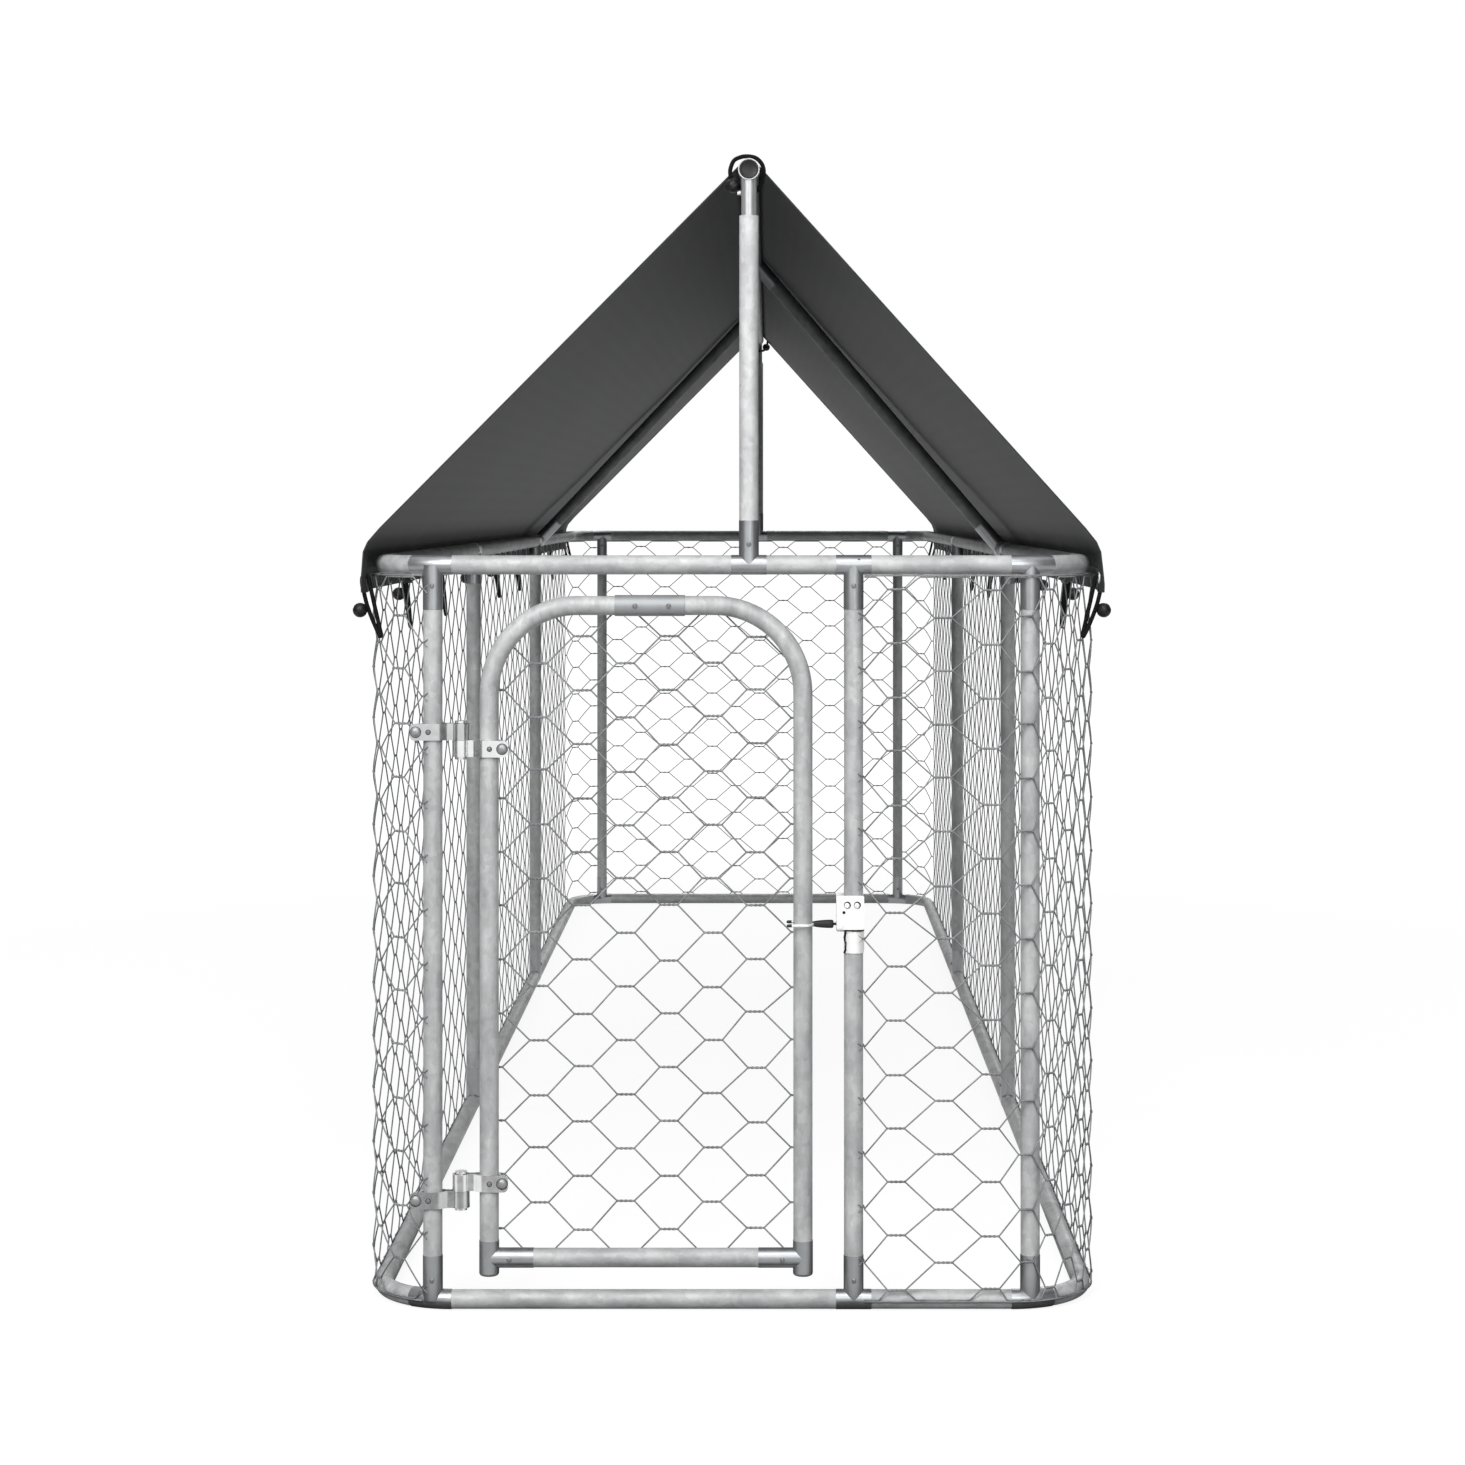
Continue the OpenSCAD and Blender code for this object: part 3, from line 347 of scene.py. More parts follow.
def moulded_plastic(name, dark, light, rough, grain):
    """Injection moulded nylon: black with a slight sheen and a fine mould texture."""
    material, tree = new_material(name)
    place = add(tree, "ShaderNodeTexCoord").outputs["Object"]
    noise = {"Vector": place, "Scale": per_metre(grain), "Detail": 3.0}
    mould = add(tree, "ShaderNodeTexNoise", noise).outputs[0]
    tone = add(tree, "ShaderNodeMix", {0: mould, MIX_A: srgb(dark), MIX_B: srgb(light)}, **BLEND)
    relief = {"Height": mould, "Strength": 0.2, "Distance": 0.3 * MM}
    skin = add(tree, "ShaderNodeBsdfPrincipled", {
        "Base Color": tone.outputs[MIX_RESULT],
        "Roughness": rough,
        "Specular IOR Level": 0.25,
        "Normal": add(tree, "ShaderNodeBump", relief).outputs[0],
    })
    add(tree, "ShaderNodeOutputMaterial", {"Surface": skin.outputs[0]})
    return material


TUBE_TONES = ("#9b9d9e", "#c4c5c5", 0.08, 0.52, 26, 9)
ACROSS_STEEL = galvanised_steel("galvanised_tube_across", *TUBE_TONES, drawn=(0.3, 1.0, 1.0))
ALONG_STEEL = galvanised_steel("galvanised_tube_along", *TUBE_TONES, drawn=(1.0, 0.3, 1.0))
UPRIGHT_STEEL = galvanised_steel("galvanised_tube_upright", *TUBE_TONES, drawn=(1.0, 1.0, 0.3))
BENT_STEEL = galvanised_steel("galvanised_tube_bent", *TUBE_TONES)
# Painted light: a lighter copy of the tube finish for the ridge posts, which stand out in front of the roof
# in more light
LIT_RIDGE_POST_STEEL = galvanised_steel("galvanised_ridge_post_painted_light", "#b2b3b4", "#d5d6d6", *TUBE_TONES[2:],
                                    drawn=(1.0, 1.0, 0.3))
# Painted shade: a darker copy of the tube finish for the side top rails, ridge tubes and rafters, which lie
# in the shade under the roof
SHADED_TUBE_STEEL = galvanised_steel("galvanised_tube_painted_shade", "#717375", "#8c8e8f", *TUBE_TONES[2:],
                              drawn=(1.0, 0.3, 1.0))
FITTING_STEEL = plated_steel("zinc_plated_fitting", "#878a8c", "#a1a3a5", 0.75, 0.36, 26)
SLEEVE_STEEL = plated_steel("zinc_plated_sleeve", "#8b8d8f", "#a1a3a4", 0.3, 0.5, 26)
RIDGE_STEEL = plated_steel("zinc_plated_ridge_end", "#97999a", "#b1b2b2", 0.6, 0.42, 20)
BRIGHT_STEEL = plated_steel("bright_zinc_plate", "#f0f0ef", "#fbfbfa", 0.25, 0.32, 14)
HINGE_STEEL = plated_steel("bright_zinc_hinge", "#d5d6d6", "#f4f4f4", 0.85, 0.2, 18)
# Painted shade: a darker copy of the hinge finish for the leaves on the post
SHADED_POST_HINGE_STEEL = plated_steel("zinc_hinge_painted_shade", "#b0b2b3", "#d2d3d3", 0.85, 0.2, 18)
BOLT_STEEL = plated_steel("zinc_plated_bolt", "#7f8183", "#9b9d9e", 0.5, 0.42, 9)
WIRE_STEEL = galvanised_steel("galvanised_netting_wire", "#6e7072", "#929496", 0.12, 0.5, 40, 6)
ROOF_CLOTH = coated_weave("coated_polyester_weave", "#343536", "#3d3e3f", 3.0)
CORD_BRAID = braided_cord("black_braided_elastic", "#050505", "#161616", 1.6)
# Black nylon of the plugs and balls, also used as painted shade for the latch saddle's strips and the latch
# plate's rings
BLACK_NYLON_AND_SHADE = moulded_plastic("black_moulded_nylon_and_painted_shade", "#0a0a0a", "#191919", 0.42, 2.5)
# Dark dip on the ends of the fork's tines, and painted shade on the fork's grip and the hinge rings
DARK_DIP_AND_SHADE = moulded_plastic("dark_dipped_steel_and_painted_shade", "#1d1e1e", "#2b2c2c", 0.5, 3.0)

MATERIAL_OF_SLOT = {
    "galvanised_tube": BENT_STEEL,
    "zinc_fitting": FITTING_STEEL,
    "bright_zinc": BRIGHT_STEEL,
    "netting_wire": WIRE_STEEL,
    "roof_fabric": ROOF_CLOTH,
    "bungee_cord": CORD_BRAID,
    "black_plastic": BLACK_NYLON_AND_SHADE,
    "fork_steel": DARK_DIP_AND_SHADE,
}
NODES_OF_MATERIAL = (
    (ACROSS_STEEL, ("front_bottom_rail", "back_bottom_rail", "door_bottom_rail")),
    (ACROSS_STEEL, ("front_top_rail", "back_top_rail")),
    (ALONG_STEEL, ("left_bottom_rail", "right_bottom_rail")),
    (SHADED_TUBE_STEEL, ("left_top_rail", "right_top_rail", "ridge_tubes", "left_rafter", "right_rafter")),
    (UPRIGHT_STEEL, ("front_corner_posts", "middle_post", "left_posts", "right_posts", "back_posts")),
    (UPRIGHT_STEEL, ("door_left_stile", "door_right_stile")),
    (LIT_RIDGE_POST_STEEL, ("front_ridge_post", "back_ridge_post")),
    (RIDGE_STEEL, ("front_ridge_tee", "back_ridge_tee")),
    (SLEEVE_STEEL, ("door_top_sleeve",)),
    (HINGE_STEEL, ("hinge_pins",)),
)
MATERIAL_OF_NODE = {node: material for material, group in NODES_OF_MATERIAL for node in group}
for row in frame["record"]["subparts"]:
    part = nodes[row["node"]]
    part.data.materials.clear()
    part.data.materials.append(MATERIAL_OF_NODE.get(row["node"], MATERIAL_OF_SLOT[row["material_slot"]]))

# Netting: twisted hexagons, twists level, columns half a row apart

WIRE_R = 1.05
TURN_R = 0.8
NET_OFF = 14.7
NET_R = BEND_R + NET_OFF
NET_ROW = 70.0
TWIST_HALF = 12.0
EVEN_Z = 28.6
NET_ROWS = 14
NET_LOW = LOW_Z
NET_HIGH = TOP_Z - 13.5
FIRST_COLUMN_X = 213.5
ARC = NET_R * math.pi / 2
# Stretches of the wrap seen from above: start or centre, direction or start angle, length
STRETCHES = [
    ("line", (FIRST_COLUMN_X, FRONT_Y - NET_OFF), (1, 0), BEND_X - FIRST_COLUMN_X),
    ("arc", (BEND_X, -BEND_Y), -90, ARC),
    ("line", (SIDE_X + NET_OFF, -BEND_Y), (0, 1), 2 * BEND_Y),
    ("arc", (BEND_X, BEND_Y), 0, ARC),
    ("line", (BEND_X, -FRONT_Y + NET_OFF), (-1, 0), 2 * BEND_X),
    ("arc", (-BEND_X, BEND_Y), 90, ARC),
    ("line", (-SIDE_X - NET_OFF, BEND_Y), (0, -1), 2 * BEND_Y),
    ("arc", (-BEND_X, -BEND_Y), 180, ARC),
]
STARTS = np.cumsum([0] + [s[3] for s in STRETCHES])
# The netting is drawn together round both front corners: its columns are closer there, with shorter twists
RIGHT_COLUMNS = [0.0, 61.6, 123.1, 169.8, 203.1, 234.1, 260.1, 285.0, 321.0]
RIGHT_HALVES = [12.0, 12.0, 12.0, 9.0, 7.0, 7.6, 7.0, 7.0, 8.0]
LEFT_COLUMNS = [STARTS[-1] - 158.0, STARTS[-1] - 122.1, STARTS[-1] - 75.0]
LEFT_HALVES = [8.0, 6.0, 10.0]
WALL_COLUMNS = 138
wall = np.linspace(RIGHT_COLUMNS[-1], LEFT_COLUMNS[0], WALL_COLUMNS + 2)[1:-1]
COLUMNS = RIGHT_COLUMNS + list(wall) + LEFT_COLUMNS
HALVES = RIGHT_HALVES + [TWIST_HALF] * WALL_COLUMNS + LEFT_HALVES
LAST_COLUMN = len(COLUMNS) - 1
NET_FROM = -41.0
NET_TO = COLUMNS[-1] + 36.0


def wrap(along, height, out):
    """Points and outward directions on the netting wrap, at distances along it, heights and stand-off."""
    along, height, out = (np.asarray(v, float) for v in (along, height, out))
    points = np.zeros((len(along), 3))
    facing = np.zeros((len(along), 3))
    which = np.clip(np.searchsorted(STARTS, along, side="right") - 1, 0, len(STRETCHES) - 1)
    for i, (kind, at, way, _) in enumerate(STRETCHES):
        here = which == i
        far = along[here] - STARTS[i]
        if kind == "line":
            flat = np.array(at) + far[:, None] * np.array(way)
            normal = np.broadcast_to((way[1], -way[0]), flat.shape)
        else:
            angle = math.radians(way) + far / NET_R
            normal = np.stack([np.cos(angle), np.sin(angle)], 1)
            flat = np.array(at) + NET_R * normal
        points[here, :2] = flat + normal * out[here, None]
        facing[here, :2] = normal
    points[:, 2] = height
    return points, facing


def in_arc(a, b):
    """True where a length of netting from a to b touches a corner of the wrap."""
    ends = zip(STRETCHES, STARTS, STARTS[1:])
    return any(kind == "arc" and b > first and a < last for (kind, _, _, _), first, last in ends)


def zigzag(columns, rows, half, turns, counts, phase, wander, ends=()):
    """One wire: a turn about its neighbour at each column, straight between. Rows of along, height, out."""
    made = []
    for k, (s, z) in enumerate(zip(columns, rows)):
        shift = wander[k]
        t = np.linspace(0, 1, counts[k])
        angle = phase[k] + 2 * math.pi * turns[k] * t
        made.append(np.stack([s + shift[0] - half[k] + 2 * half[k] * t, z + shift[1] + TURN_R * np.cos(angle),
                              TURN_R * np.sin(angle)], 1))
    if ends:
        made = [np.array(ends[0])] + made + [np.array(ends[1])]
    return made


def link(parts, finer):
    """One line from the wire's turns, with extra points on its straights where finer says so."""
    line = [parts[0]]
    for before, after in zip(parts, parts[1:]):
        steps = finer(before[-1], after[0])
        if steps > 1:
            t = np.arange(1, steps)[:, None] / steps
            line.append(before[-1] * (1 - t) + after[0] * t)
        line.append(after)
    return np.concatenate(line)


net_random = random.Random(11)
WANDER = 0.9


def wire_net():
    """The netting from the middle post round the right side, the back and the left side."""
    every = range(LAST_COLUMN + 1)
    near = [k < len(RIGHT_COLUMNS) or k > LAST_COLUMN - 4 for k in every]
    turns = [2 if n else 1 for n in near]
    counts = [17 if n else 7 for n in near]
    wander = {}
    for k in every:
        for row in range(-1, 2 * NET_ROWS + 1):
            wander[k, row] = (net_random.gauss(0, WANDER), net_random.gauss(0, WANDER))
    parts = []
    for j in range(NET_ROWS):
        for step in (1, -1):
            row = [2 * j + (step if k % 2 else 0) for k in every]
            rows = [EVEN_Z + NET_ROW / 2 * r for r in row]
            phase = [0 if (step > 0) == (k % 2 == 0) else math.pi for k in every]
            shifts = [wander[k, r] for k, r in enumerate(row)]
            first = [[NET_FROM, EVEN_Z + NET_ROW / 2 * (2 * j + step), 0]]
            last = [[NET_TO, EVEN_Z + NET_ROW * j, 0]]
            lines = zigzag(COLUMNS, rows, HALVES, turns, counts, phase, shifts, (first, last))
            edge = (j == 0 and step < 0) or (j == NET_ROWS - 1 and step > 0)
            line = link(lines, lambda a, b: 8 if edge else (5 if in_arc(a[0], b[0]) else 1))
            line[:, 1] = np.clip(line[:, 1], NET_LOW + 2 * WIRE_R, NET_HIGH - 2 * WIRE_R)
            # The netting passes behind the hinge ears on the corner post
            behind = np.clip((line[:, 0] - COLUMNS[-1]) / 12, 0, 1)
            for ear_z in POST_LEAF_Z:
                line[:, 2] -= 6.0 * behind * np.clip(1.8 - np.abs(line[:, 1] - ear_z) / 14, 0, 1)
            path, facing = wrap(*line.T)
            parts.append(sweep(path, WIRE_R, 5, facing))
    for z in (NET_LOW, NET_HIGH):
        along = np.append(np.arange(NET_FROM, NET_TO, 14), NET_TO)
        path, facing = wrap(along, np.full(len(along), z), np.zeros(len(along)))
        parts.append(sweep(path, WIRE_R * 1.15, 6, facing))
    return join(parts)


piece("wire_netting", wire_net(), WIRE_STEEL, "frame",
      ("left_net", "right_net", "back_net", "front_net", "corner_nets"))

DOOR_NET_Y = FRONT_Y + 14.2
DOOR_NET_IN = 7.0
DOOR_COLUMN_X = -252.8
DOOR_PITCH = 56.9
DOOR_ROW = 70.4
DOOR_EVEN_Z = 66.4
DOOR_LAST = DOOR_TOP - DOOR_NET_IN


def in_door(x, z):
    """Distance inside the door's netting outline, which has round top corners; negative outside."""
    left, right = DOOR_LEFT + DOOR_NET_IN, DOOR_RIGHT - DOOR_NET_IN
    r = DOOR_ARCH - DOOR_NET_IN
    room = min(x - left, right - x, z - DOOR_FOOT + DOOR_NET_IN, DOOR_LAST - z)
    cx = min(max(x, left + r), right - r)
    cz = min(z, DOOR_LAST - r)
    if z > DOOR_LAST - r and (x < left + r or x > right - r):
        room = min(room, r - math.hypot(x - cx, z - cz))
    return room


def cut_to_door(line):
    """Runs of a wire that lie inside the door, each ended on its outline."""
    runs, run = [], []
    for a, b in zip(line, line[1:]):
        ra, rb = in_door(a[0], a[1]), in_door(b[0], b[1])
        if ra >= 0 and not run:
            run = [a]
        if (ra < 0) != (rb < 0):
            meet = a + (b - a) * (ra / (ra - rb))
            if rb < 0:
                runs.append(run + [meet])
                run = []
            else:
                run = [meet, b]
        elif rb >= 0:
            run.append(b)
    if run:
        runs.append(run)
    return [np.array(r) for r in runs if len(r) > 1]


def door_outline(inset, step=15):
    """Closed outline of the door in a plane, inset from the tube axes."""
    left, right, foot = DOOR_LEFT + inset, DOOR_RIGHT - inset, DOOR_FOOT - DOOR_NET_IN
    r = DOOR_ARCH - inset
    spring = DOOR_TOP - inset - r
    outline = [(left, foot), (right, foot)]
    outline += [(right - r + u, spring + v) for u, v in arc(r, 0, 91, step)]
    outline += [(left + r - u, spring + v) for u, v in arc(r, 90, -1, -step)]
    return outline


def door_wire_net():
    """Netting of the door, cut to its outline and turned round a rim wire that lies on the tubes."""
    every = range(-2, 8)
    count = len(every)
    columns = [DOOR_COLUMN_X + k * DOOR_PITCH for k in every]
    parts = []
    wander = {(k, row): (net_random.gauss(0, WANDER), net_random.gauss(0, WANDER))
              for k in every for row in range(-3, 28)}
    for j in range(-1, 13):
        for step in (1, -1):
            row = [2 * j + (step if k % 2 else 0) for k in every]
            rows = [DOOR_EVEN_Z + DOOR_ROW / 2 * r for r in row]
            phase = [0 if (step > 0) == (k % 2 == 0) else math.pi for k in every]
            shifts = [wander[k, r] for k, r in zip(every, row)]
            turns = zigzag(columns, rows, [TWIST_HALF] * count, [2] * count, [17] * count, phase, shifts)
            line = link(turns, lambda a, b: 4)
            for run in cut_to_door(line):
                path = np.stack([run[:, 0], DOOR_NET_Y + run[:, 2], run[:, 1]], 1)
                parts.append(sweep(path, WIRE_R, 6, (0, 1, 0)))
    rim = [(x, DOOR_NET_Y, z) for x, z in door_outline(DOOR_NET_IN)]
    parts.append(sweep(rim, WIRE_R * 1.15, 6, (0, 1, 0), closed=True))
    return join(parts)


piece("door_wire_netting", door_wire_net(), WIRE_STEEL, "door", ("door_net",))


# Cut ends of the netting, hooked round the middle post and the left corner post


END_FROM = -34.0
# Rise of each cut end and the angle round the post where it stops
CUT_ENDS = ((5.0, -66.0), (-5.0, -62.0), (-2.0, 120.0), (2.0, 96.0))


def netting_ends():
    parts = []
    for j in range(NET_ROWS):
        for post_x, way, lift in ((MID_POST_X, 1, NET_ROW / 2), (-POST_X, -1, 0.0)):
            z = EVEN_Z + NET_ROW * j + lift
            if way < 0 and min(abs(z - ear_z) for ear_z in POST_LEAF_Z) < 20:
                continue
            for rise, end in CUT_ENDS:
                points = []
                for t in np.linspace(0, 1, 12):
                    a = math.radians(END_FROM + (end - END_FROM) * t)
                    stand = 14.6 - 1.2 * min(1, 3 * t)
                    x = post_x + way * stand * math.cos(a)
                    points.append((x, FRONT_Y + stand * math.sin(a), z + rise * t))
                parts.append(sweep(points, 0.8, 6, (0, 0, 1)))
    return join(parts)


piece("netting_cut_ends", netting_ends(), WIRE_STEEL, "frame")

# Roof sheet: stretched over the ridge, folded over the eaves, hems pulled down by the bungees

SHEET_STAND = 15.2
ROOF_SAG = 3.5
PULL_REACH = 45.0
FLARE_REACH = 7.0


def roof_profile():
    """Cross-section of the sheet from the left hem over the ridge to the right hem, with its share of sag."""
    rows = []
    ridge = Vector((RIDGE_X, RIDGE_Z))
    for side in (-1, 1):
        fold = Vector((side * (SKIRT_X - 2.6), FOLD_Z))
        hem = Vector((side * (SKIRT_X + 0.9) + (2.4 if side > 0 else 0.0), HEM_Z))
        way = fold - ridge
        lean = math.atan2(way.y, way.x) - side * -math.acos(SHEET_STAND / way.length)
        leave = ridge + SHEET_STAND * Vector((math.cos(lean), math.sin(lean)))
        slope = [(leave.lerp(fold, t), math.sin(math.pi * t)) for t in np.linspace(0, 1, 25)]
        down = [(fold.lerp(hem, t), 0.0) for t in np.linspace(0, 1, 7)]
        rows.append((lean, slope[:-1] + down))
    (left_lean, left), (right_lean, right) = rows
    if left_lean < right_lean:
        left_lean += 2 * math.pi
    over = [(ridge + SHEET_STAND * Vector((math.cos(a), math.sin(a))), 0.0)
            for a in np.linspace(left_lean, right_lean, 9)[1:-1]]
    return left[::-1] + over + right


def smooth_corner(points, rounds):
    """Softens the folds of an open line of points, ends kept."""
    points = np.array(points, float)
    for _ in range(rounds):
        points[1:-1] = points[1:-1] * 0.5 + (points[:-2] + points[2:]) * 0.25
    return points


def sheet_rows(y_from, y_to):
    """Places along the run where the sheet has a row of points: closer at the eyelets and the free ends."""
    rows = list(np.linspace(-SHEET_L / 2, SHEET_L / 2, 121))
    for y in EYELET_ROW:
        rows += [y + step for step in (-45, -30, -18, -9, 0, 9, 18, 30, 45)]
    for step in (1.5, 3.5, 6, 9, 13):
        rows += [step - SHEET_L / 2, SHEET_L / 2 - step]
    inside = [y for y in rows if y_from + 0.5 < y < y_to - 0.5]
    return np.array(sorted(set(inside + [y_from, y_to])))


def roof_surface(lift=0.0, first=0, last=None, y_from=-SHEET_L / 2, y_to=SHEET_L / 2):
    """Points of the sheet's middle surface, rows along the profile and columns along the run."""
    profile = roof_profile()[first:last]
    flat = smooth_corner([p for p, _ in profile], 1)
    sag = np.array([s for _, s in profile])
    along = np.gradient(flat, axis=0)
    along /= np.linalg.norm(along, axis=1)[:, None]
    normal = np.stack([-along[:, 1], along[:, 0]], 1)
    ys = sheet_rows(y_from, y_to)
    grid = np.zeros((len(flat), len(ys), 3))
    pull = sum(np.exp(-((ys - y) / PULL_REACH) ** 2) for y in EYELET_ROW)
    flare = np.exp(-((SHEET_L / 2 - np.abs(ys)) / FLARE_REACH) ** 2)
    ends = 1 - (np.abs(ys) / (SHEET_L / 2)) ** 6
    for i, ((x, z), n) in enumerate(zip(flat, normal)):
        drop = max(0.0, (FOLD_Z + 14 - z) / (FOLD_Z + 14 - HEM_Z))
        turned_in = 1.6 * max(0.0, (drop - 0.8) / 0.2) ** 2
        ripple = 0.9 * np.sin(ys / 173.0 + 0.6 * i) * sag[i]
        move = -ROOF_SAG * sag[i] * ends + ripple * ends + lift
        grid[i, :, 0] = x + n[0] * move + np.sign(x) * (drop * (1.2 - 4.4 * pull + 4.2 * flare) - turned_in)
        grid[i, :, 1] = ys
        grid[i, :, 2] = z + n[1] * move - drop ** 2 * (0.4 + 2.6 * pull)
    return grid


def grid_shape(grid):
    """Points and faces of a grid of points."""
    rows, cols = grid.shape[:2]
    index = np.arange(rows * cols).reshape(rows, cols)
    faces = np.stack([index[:-1, :-1], index[:-1, 1:], index[1:, 1:], index[1:, :-1]], -1).reshape(-1, 4)
    return grid.reshape(-1, 3), faces.tolist()


def shell_of(grid, thick):
    """Closed thin sheet round a middle surface."""
    upper, faces = grid_shape(grid)
    rows, cols = grid.shape[:2]
    du = np.gradient(grid, axis=0)
    dv = np.gradient(grid, axis=1)
    normal = np.cross(du, dv)
    normal /= np.linalg.norm(normal, axis=2)[:, :, None]
    offset = normal.reshape(-1, 3) * thick / 2
    count = rows * cols
    rim = ([r * cols for r in range(rows)] + [(rows - 1) * cols + c for c in range(1, cols)]
           + [r * cols + cols - 1 for r in range(rows - 2, -1, -1)] + list(range(cols - 2, 0, -1)))
    back = [[i + count for i in face[::-1]] for face in faces]
    edge = [[a, b, b + count, a + count] for a, b in zip(rim, rim[1:] + rim[:1])]
    return np.concatenate([upper + offset, upper - offset]), faces + back + edge


roof_grid = roof_surface()
SHEET_T = 0.9
roof_sheet = piece("roof_sheet", shell_of(roof_grid, SHEET_T), ROOF_CLOTH, "frame",
                   ("roof_cover",), 50)

HEM_BAND = 24.0
HEM_T = 0.8


def roof_hems():
    """Turned-up hems: a second layer along both skirts and both gable edges, inside the sheet."""
    parts = []
    for first, last in ((0, 4), (-4, None)):
        parts.append(shell_of(roof_surface(-SHEET_T, first, last), HEM_T))
    for y in (-SHEET_L / 2, SHEET_L / 2 - HEM_BAND):
        parts.append(shell_of(roof_surface(-SHEET_T - 0.05, y_from=y, y_to=y + HEM_BAND), HEM_T))
    return join(parts)


roof_hem = piece("roof_hems", roof_hems(), ROOF_CLOTH, "frame", (), 50)

# Eyelets, bungees and balls


def eyelet(x, y, side):
    """Rolled metal eyelet in the skirt."""
    profile = [(3.6, -1.1), (3.3, 0.2), (3.6, 1.1), (4.6, 1.6), (6.4, 1.5), (7.6, 0.9), (8.0, 0.2)]
    profile += [(7.9, -0.3), (6.0, -0.5), (3.6, -1.1)]
    return lathe(profile, 28, (x, y, EYELET_Z), (side, 0, 0))


piece("skirt_eyelets",
      join([eyelet(side * EYELET_X, y, side) for side in (-1, 1) for y in EYELET_ROW]),
      BRIGHT_STEEL, "frame", ("roof_eyelets",), 40)

CORD_R = 2.8
BALL_R = 9.7


def curve_through(points, steps):
    """Smooth closed line through points."""
    points = [np.array(p, float) for p in points]
    made = []
    for i in range(len(points)):
        a, b, c, d = (points[(i + k) % len(points)] for k in (-1, 0, 1, 2))
        for t in np.arange(steps) / steps:
            made.append(0.5 * (2 * b + (c - a) * t + (2 * a - 5 * b + 4 * c - d) * t ** 2
                               + (3 * b - a - 3 * c + d) * t ** 3))
    return np.array(made)


def elastic_loop(points):
    """Closed loop of bungee cord through points."""
    return sweep(curve_through(points, 5), CORD_R, 10, (0, 1, 0), closed=True)


def skirt_bungee(side, y):
    """Loop through an eyelet: two strands over the hem and down to a netting wire. Rows of X, along, Z."""
    rows = [
        (482.0, 0.0, 954.0), (486.6, -1.4, 955.0), (488.6, -2.6, 949.0), (487.4, -2.8, 936.0),
        (485.4, -2.8, 918.0), (483.0, -2.6, 895.0), (481.6, -2.2, 873.0), (481.8, 0.0, 868.4),
        (483.2, 2.2, 872.0), (486.6, 2.6, 893.0), (490.6, 2.8, 917.0), (493.8, 2.8, 936.0),
        (492.4, 2.4, 948.0), (487.2, 1.2, 956.0),
    ]
    return elastic_loop([(side * px, y + py, pz) for px, py, pz in rows])


def corner_bungee(side, end):
    """Loop at an end of the skirt, slanting round the bend of the netting. Rows of X, depth, Z."""
    rows = [
        (486.6, 0.0, 953.5), (482.6, 0.0, 955.0), (478.6, 1.0, 952.0), (476.8, 1.5, 944.0),
        (471.6, 3.0, 921.0), (465.8, 4.6, 897.0), (462.4, 5.6, 882.5), (461.2, 6.0, 877.6),
        (462.2, 6.2, 875.4), (464.2, 6.0, 878.6), (468.8, 5.4, 888.0), (475.2, 4.4, 903.0),
        (480.8, 3.0, 918.5), (484.8, 1.4, 934.0), (487.2, 0.4, 945.0),
    ]
    return elastic_loop([(side * px, end * (LAST_EYELET + py), pz) for px, py, pz in rows])


def ridge_bungee(end):
    """Loop over the end of the ridge. Rows of X, Y, Z at the back."""
    rows = [
        (-1.6, 1974.5, 1478.0), (-1.8, 1974.5, 1487.2), (2.9, 1974.5, 1498.5), (12.0, 1974.5, 1503.2),
        (21.2, 1974.5, 1504.2), (31.5, 1974.5, 1502.0), (38.8, 1974.5, 1495.1), (41.8, 1974.5, 1486.5),
        (41.2, 1974.5, 1477.5), (38.6, 1974.5, 1468.5), (32.0, 1974.5, 1459.0), (20.0, 1974.0, 1455.6),
        (9.8, 1974.5, 1456.4), (3.0, 1975.0, 1461.5), (-0.2, 1974.5, 1469.0),
    ]
    return elastic_loop([(RIDGE_X - end * (px - RIDGE_X), end * py, pz) for px, py, pz in rows])


def ball(centre, axis):
    """Moulded ball with a flat round the cord hole and a fine parting line."""
    profile = [(0.0, -BALL_R + 0.9), (2.2, -BALL_R + 0.7)]
    for a in range(-72, 73, 8):
        r = BALL_R * math.cos(math.radians(a))
        if a == 0:
            profile += [(r, -0.35), (r + 0.25, 0.0), (r, 0.35)]
        else:
            profile.append((r, BALL_R * math.sin(math.radians(a))))
    profile += [(2.2, BALL_R - 0.7), (0.0, BALL_R - 0.9)]
    return lathe(profile, 28, centre, axis)


# Cord from a corner loop to its ball. Rows of X, depth, Z
BALL_STUB = ((480.2, 3.0, 917.0), (484.0, 6.0, 914.0))


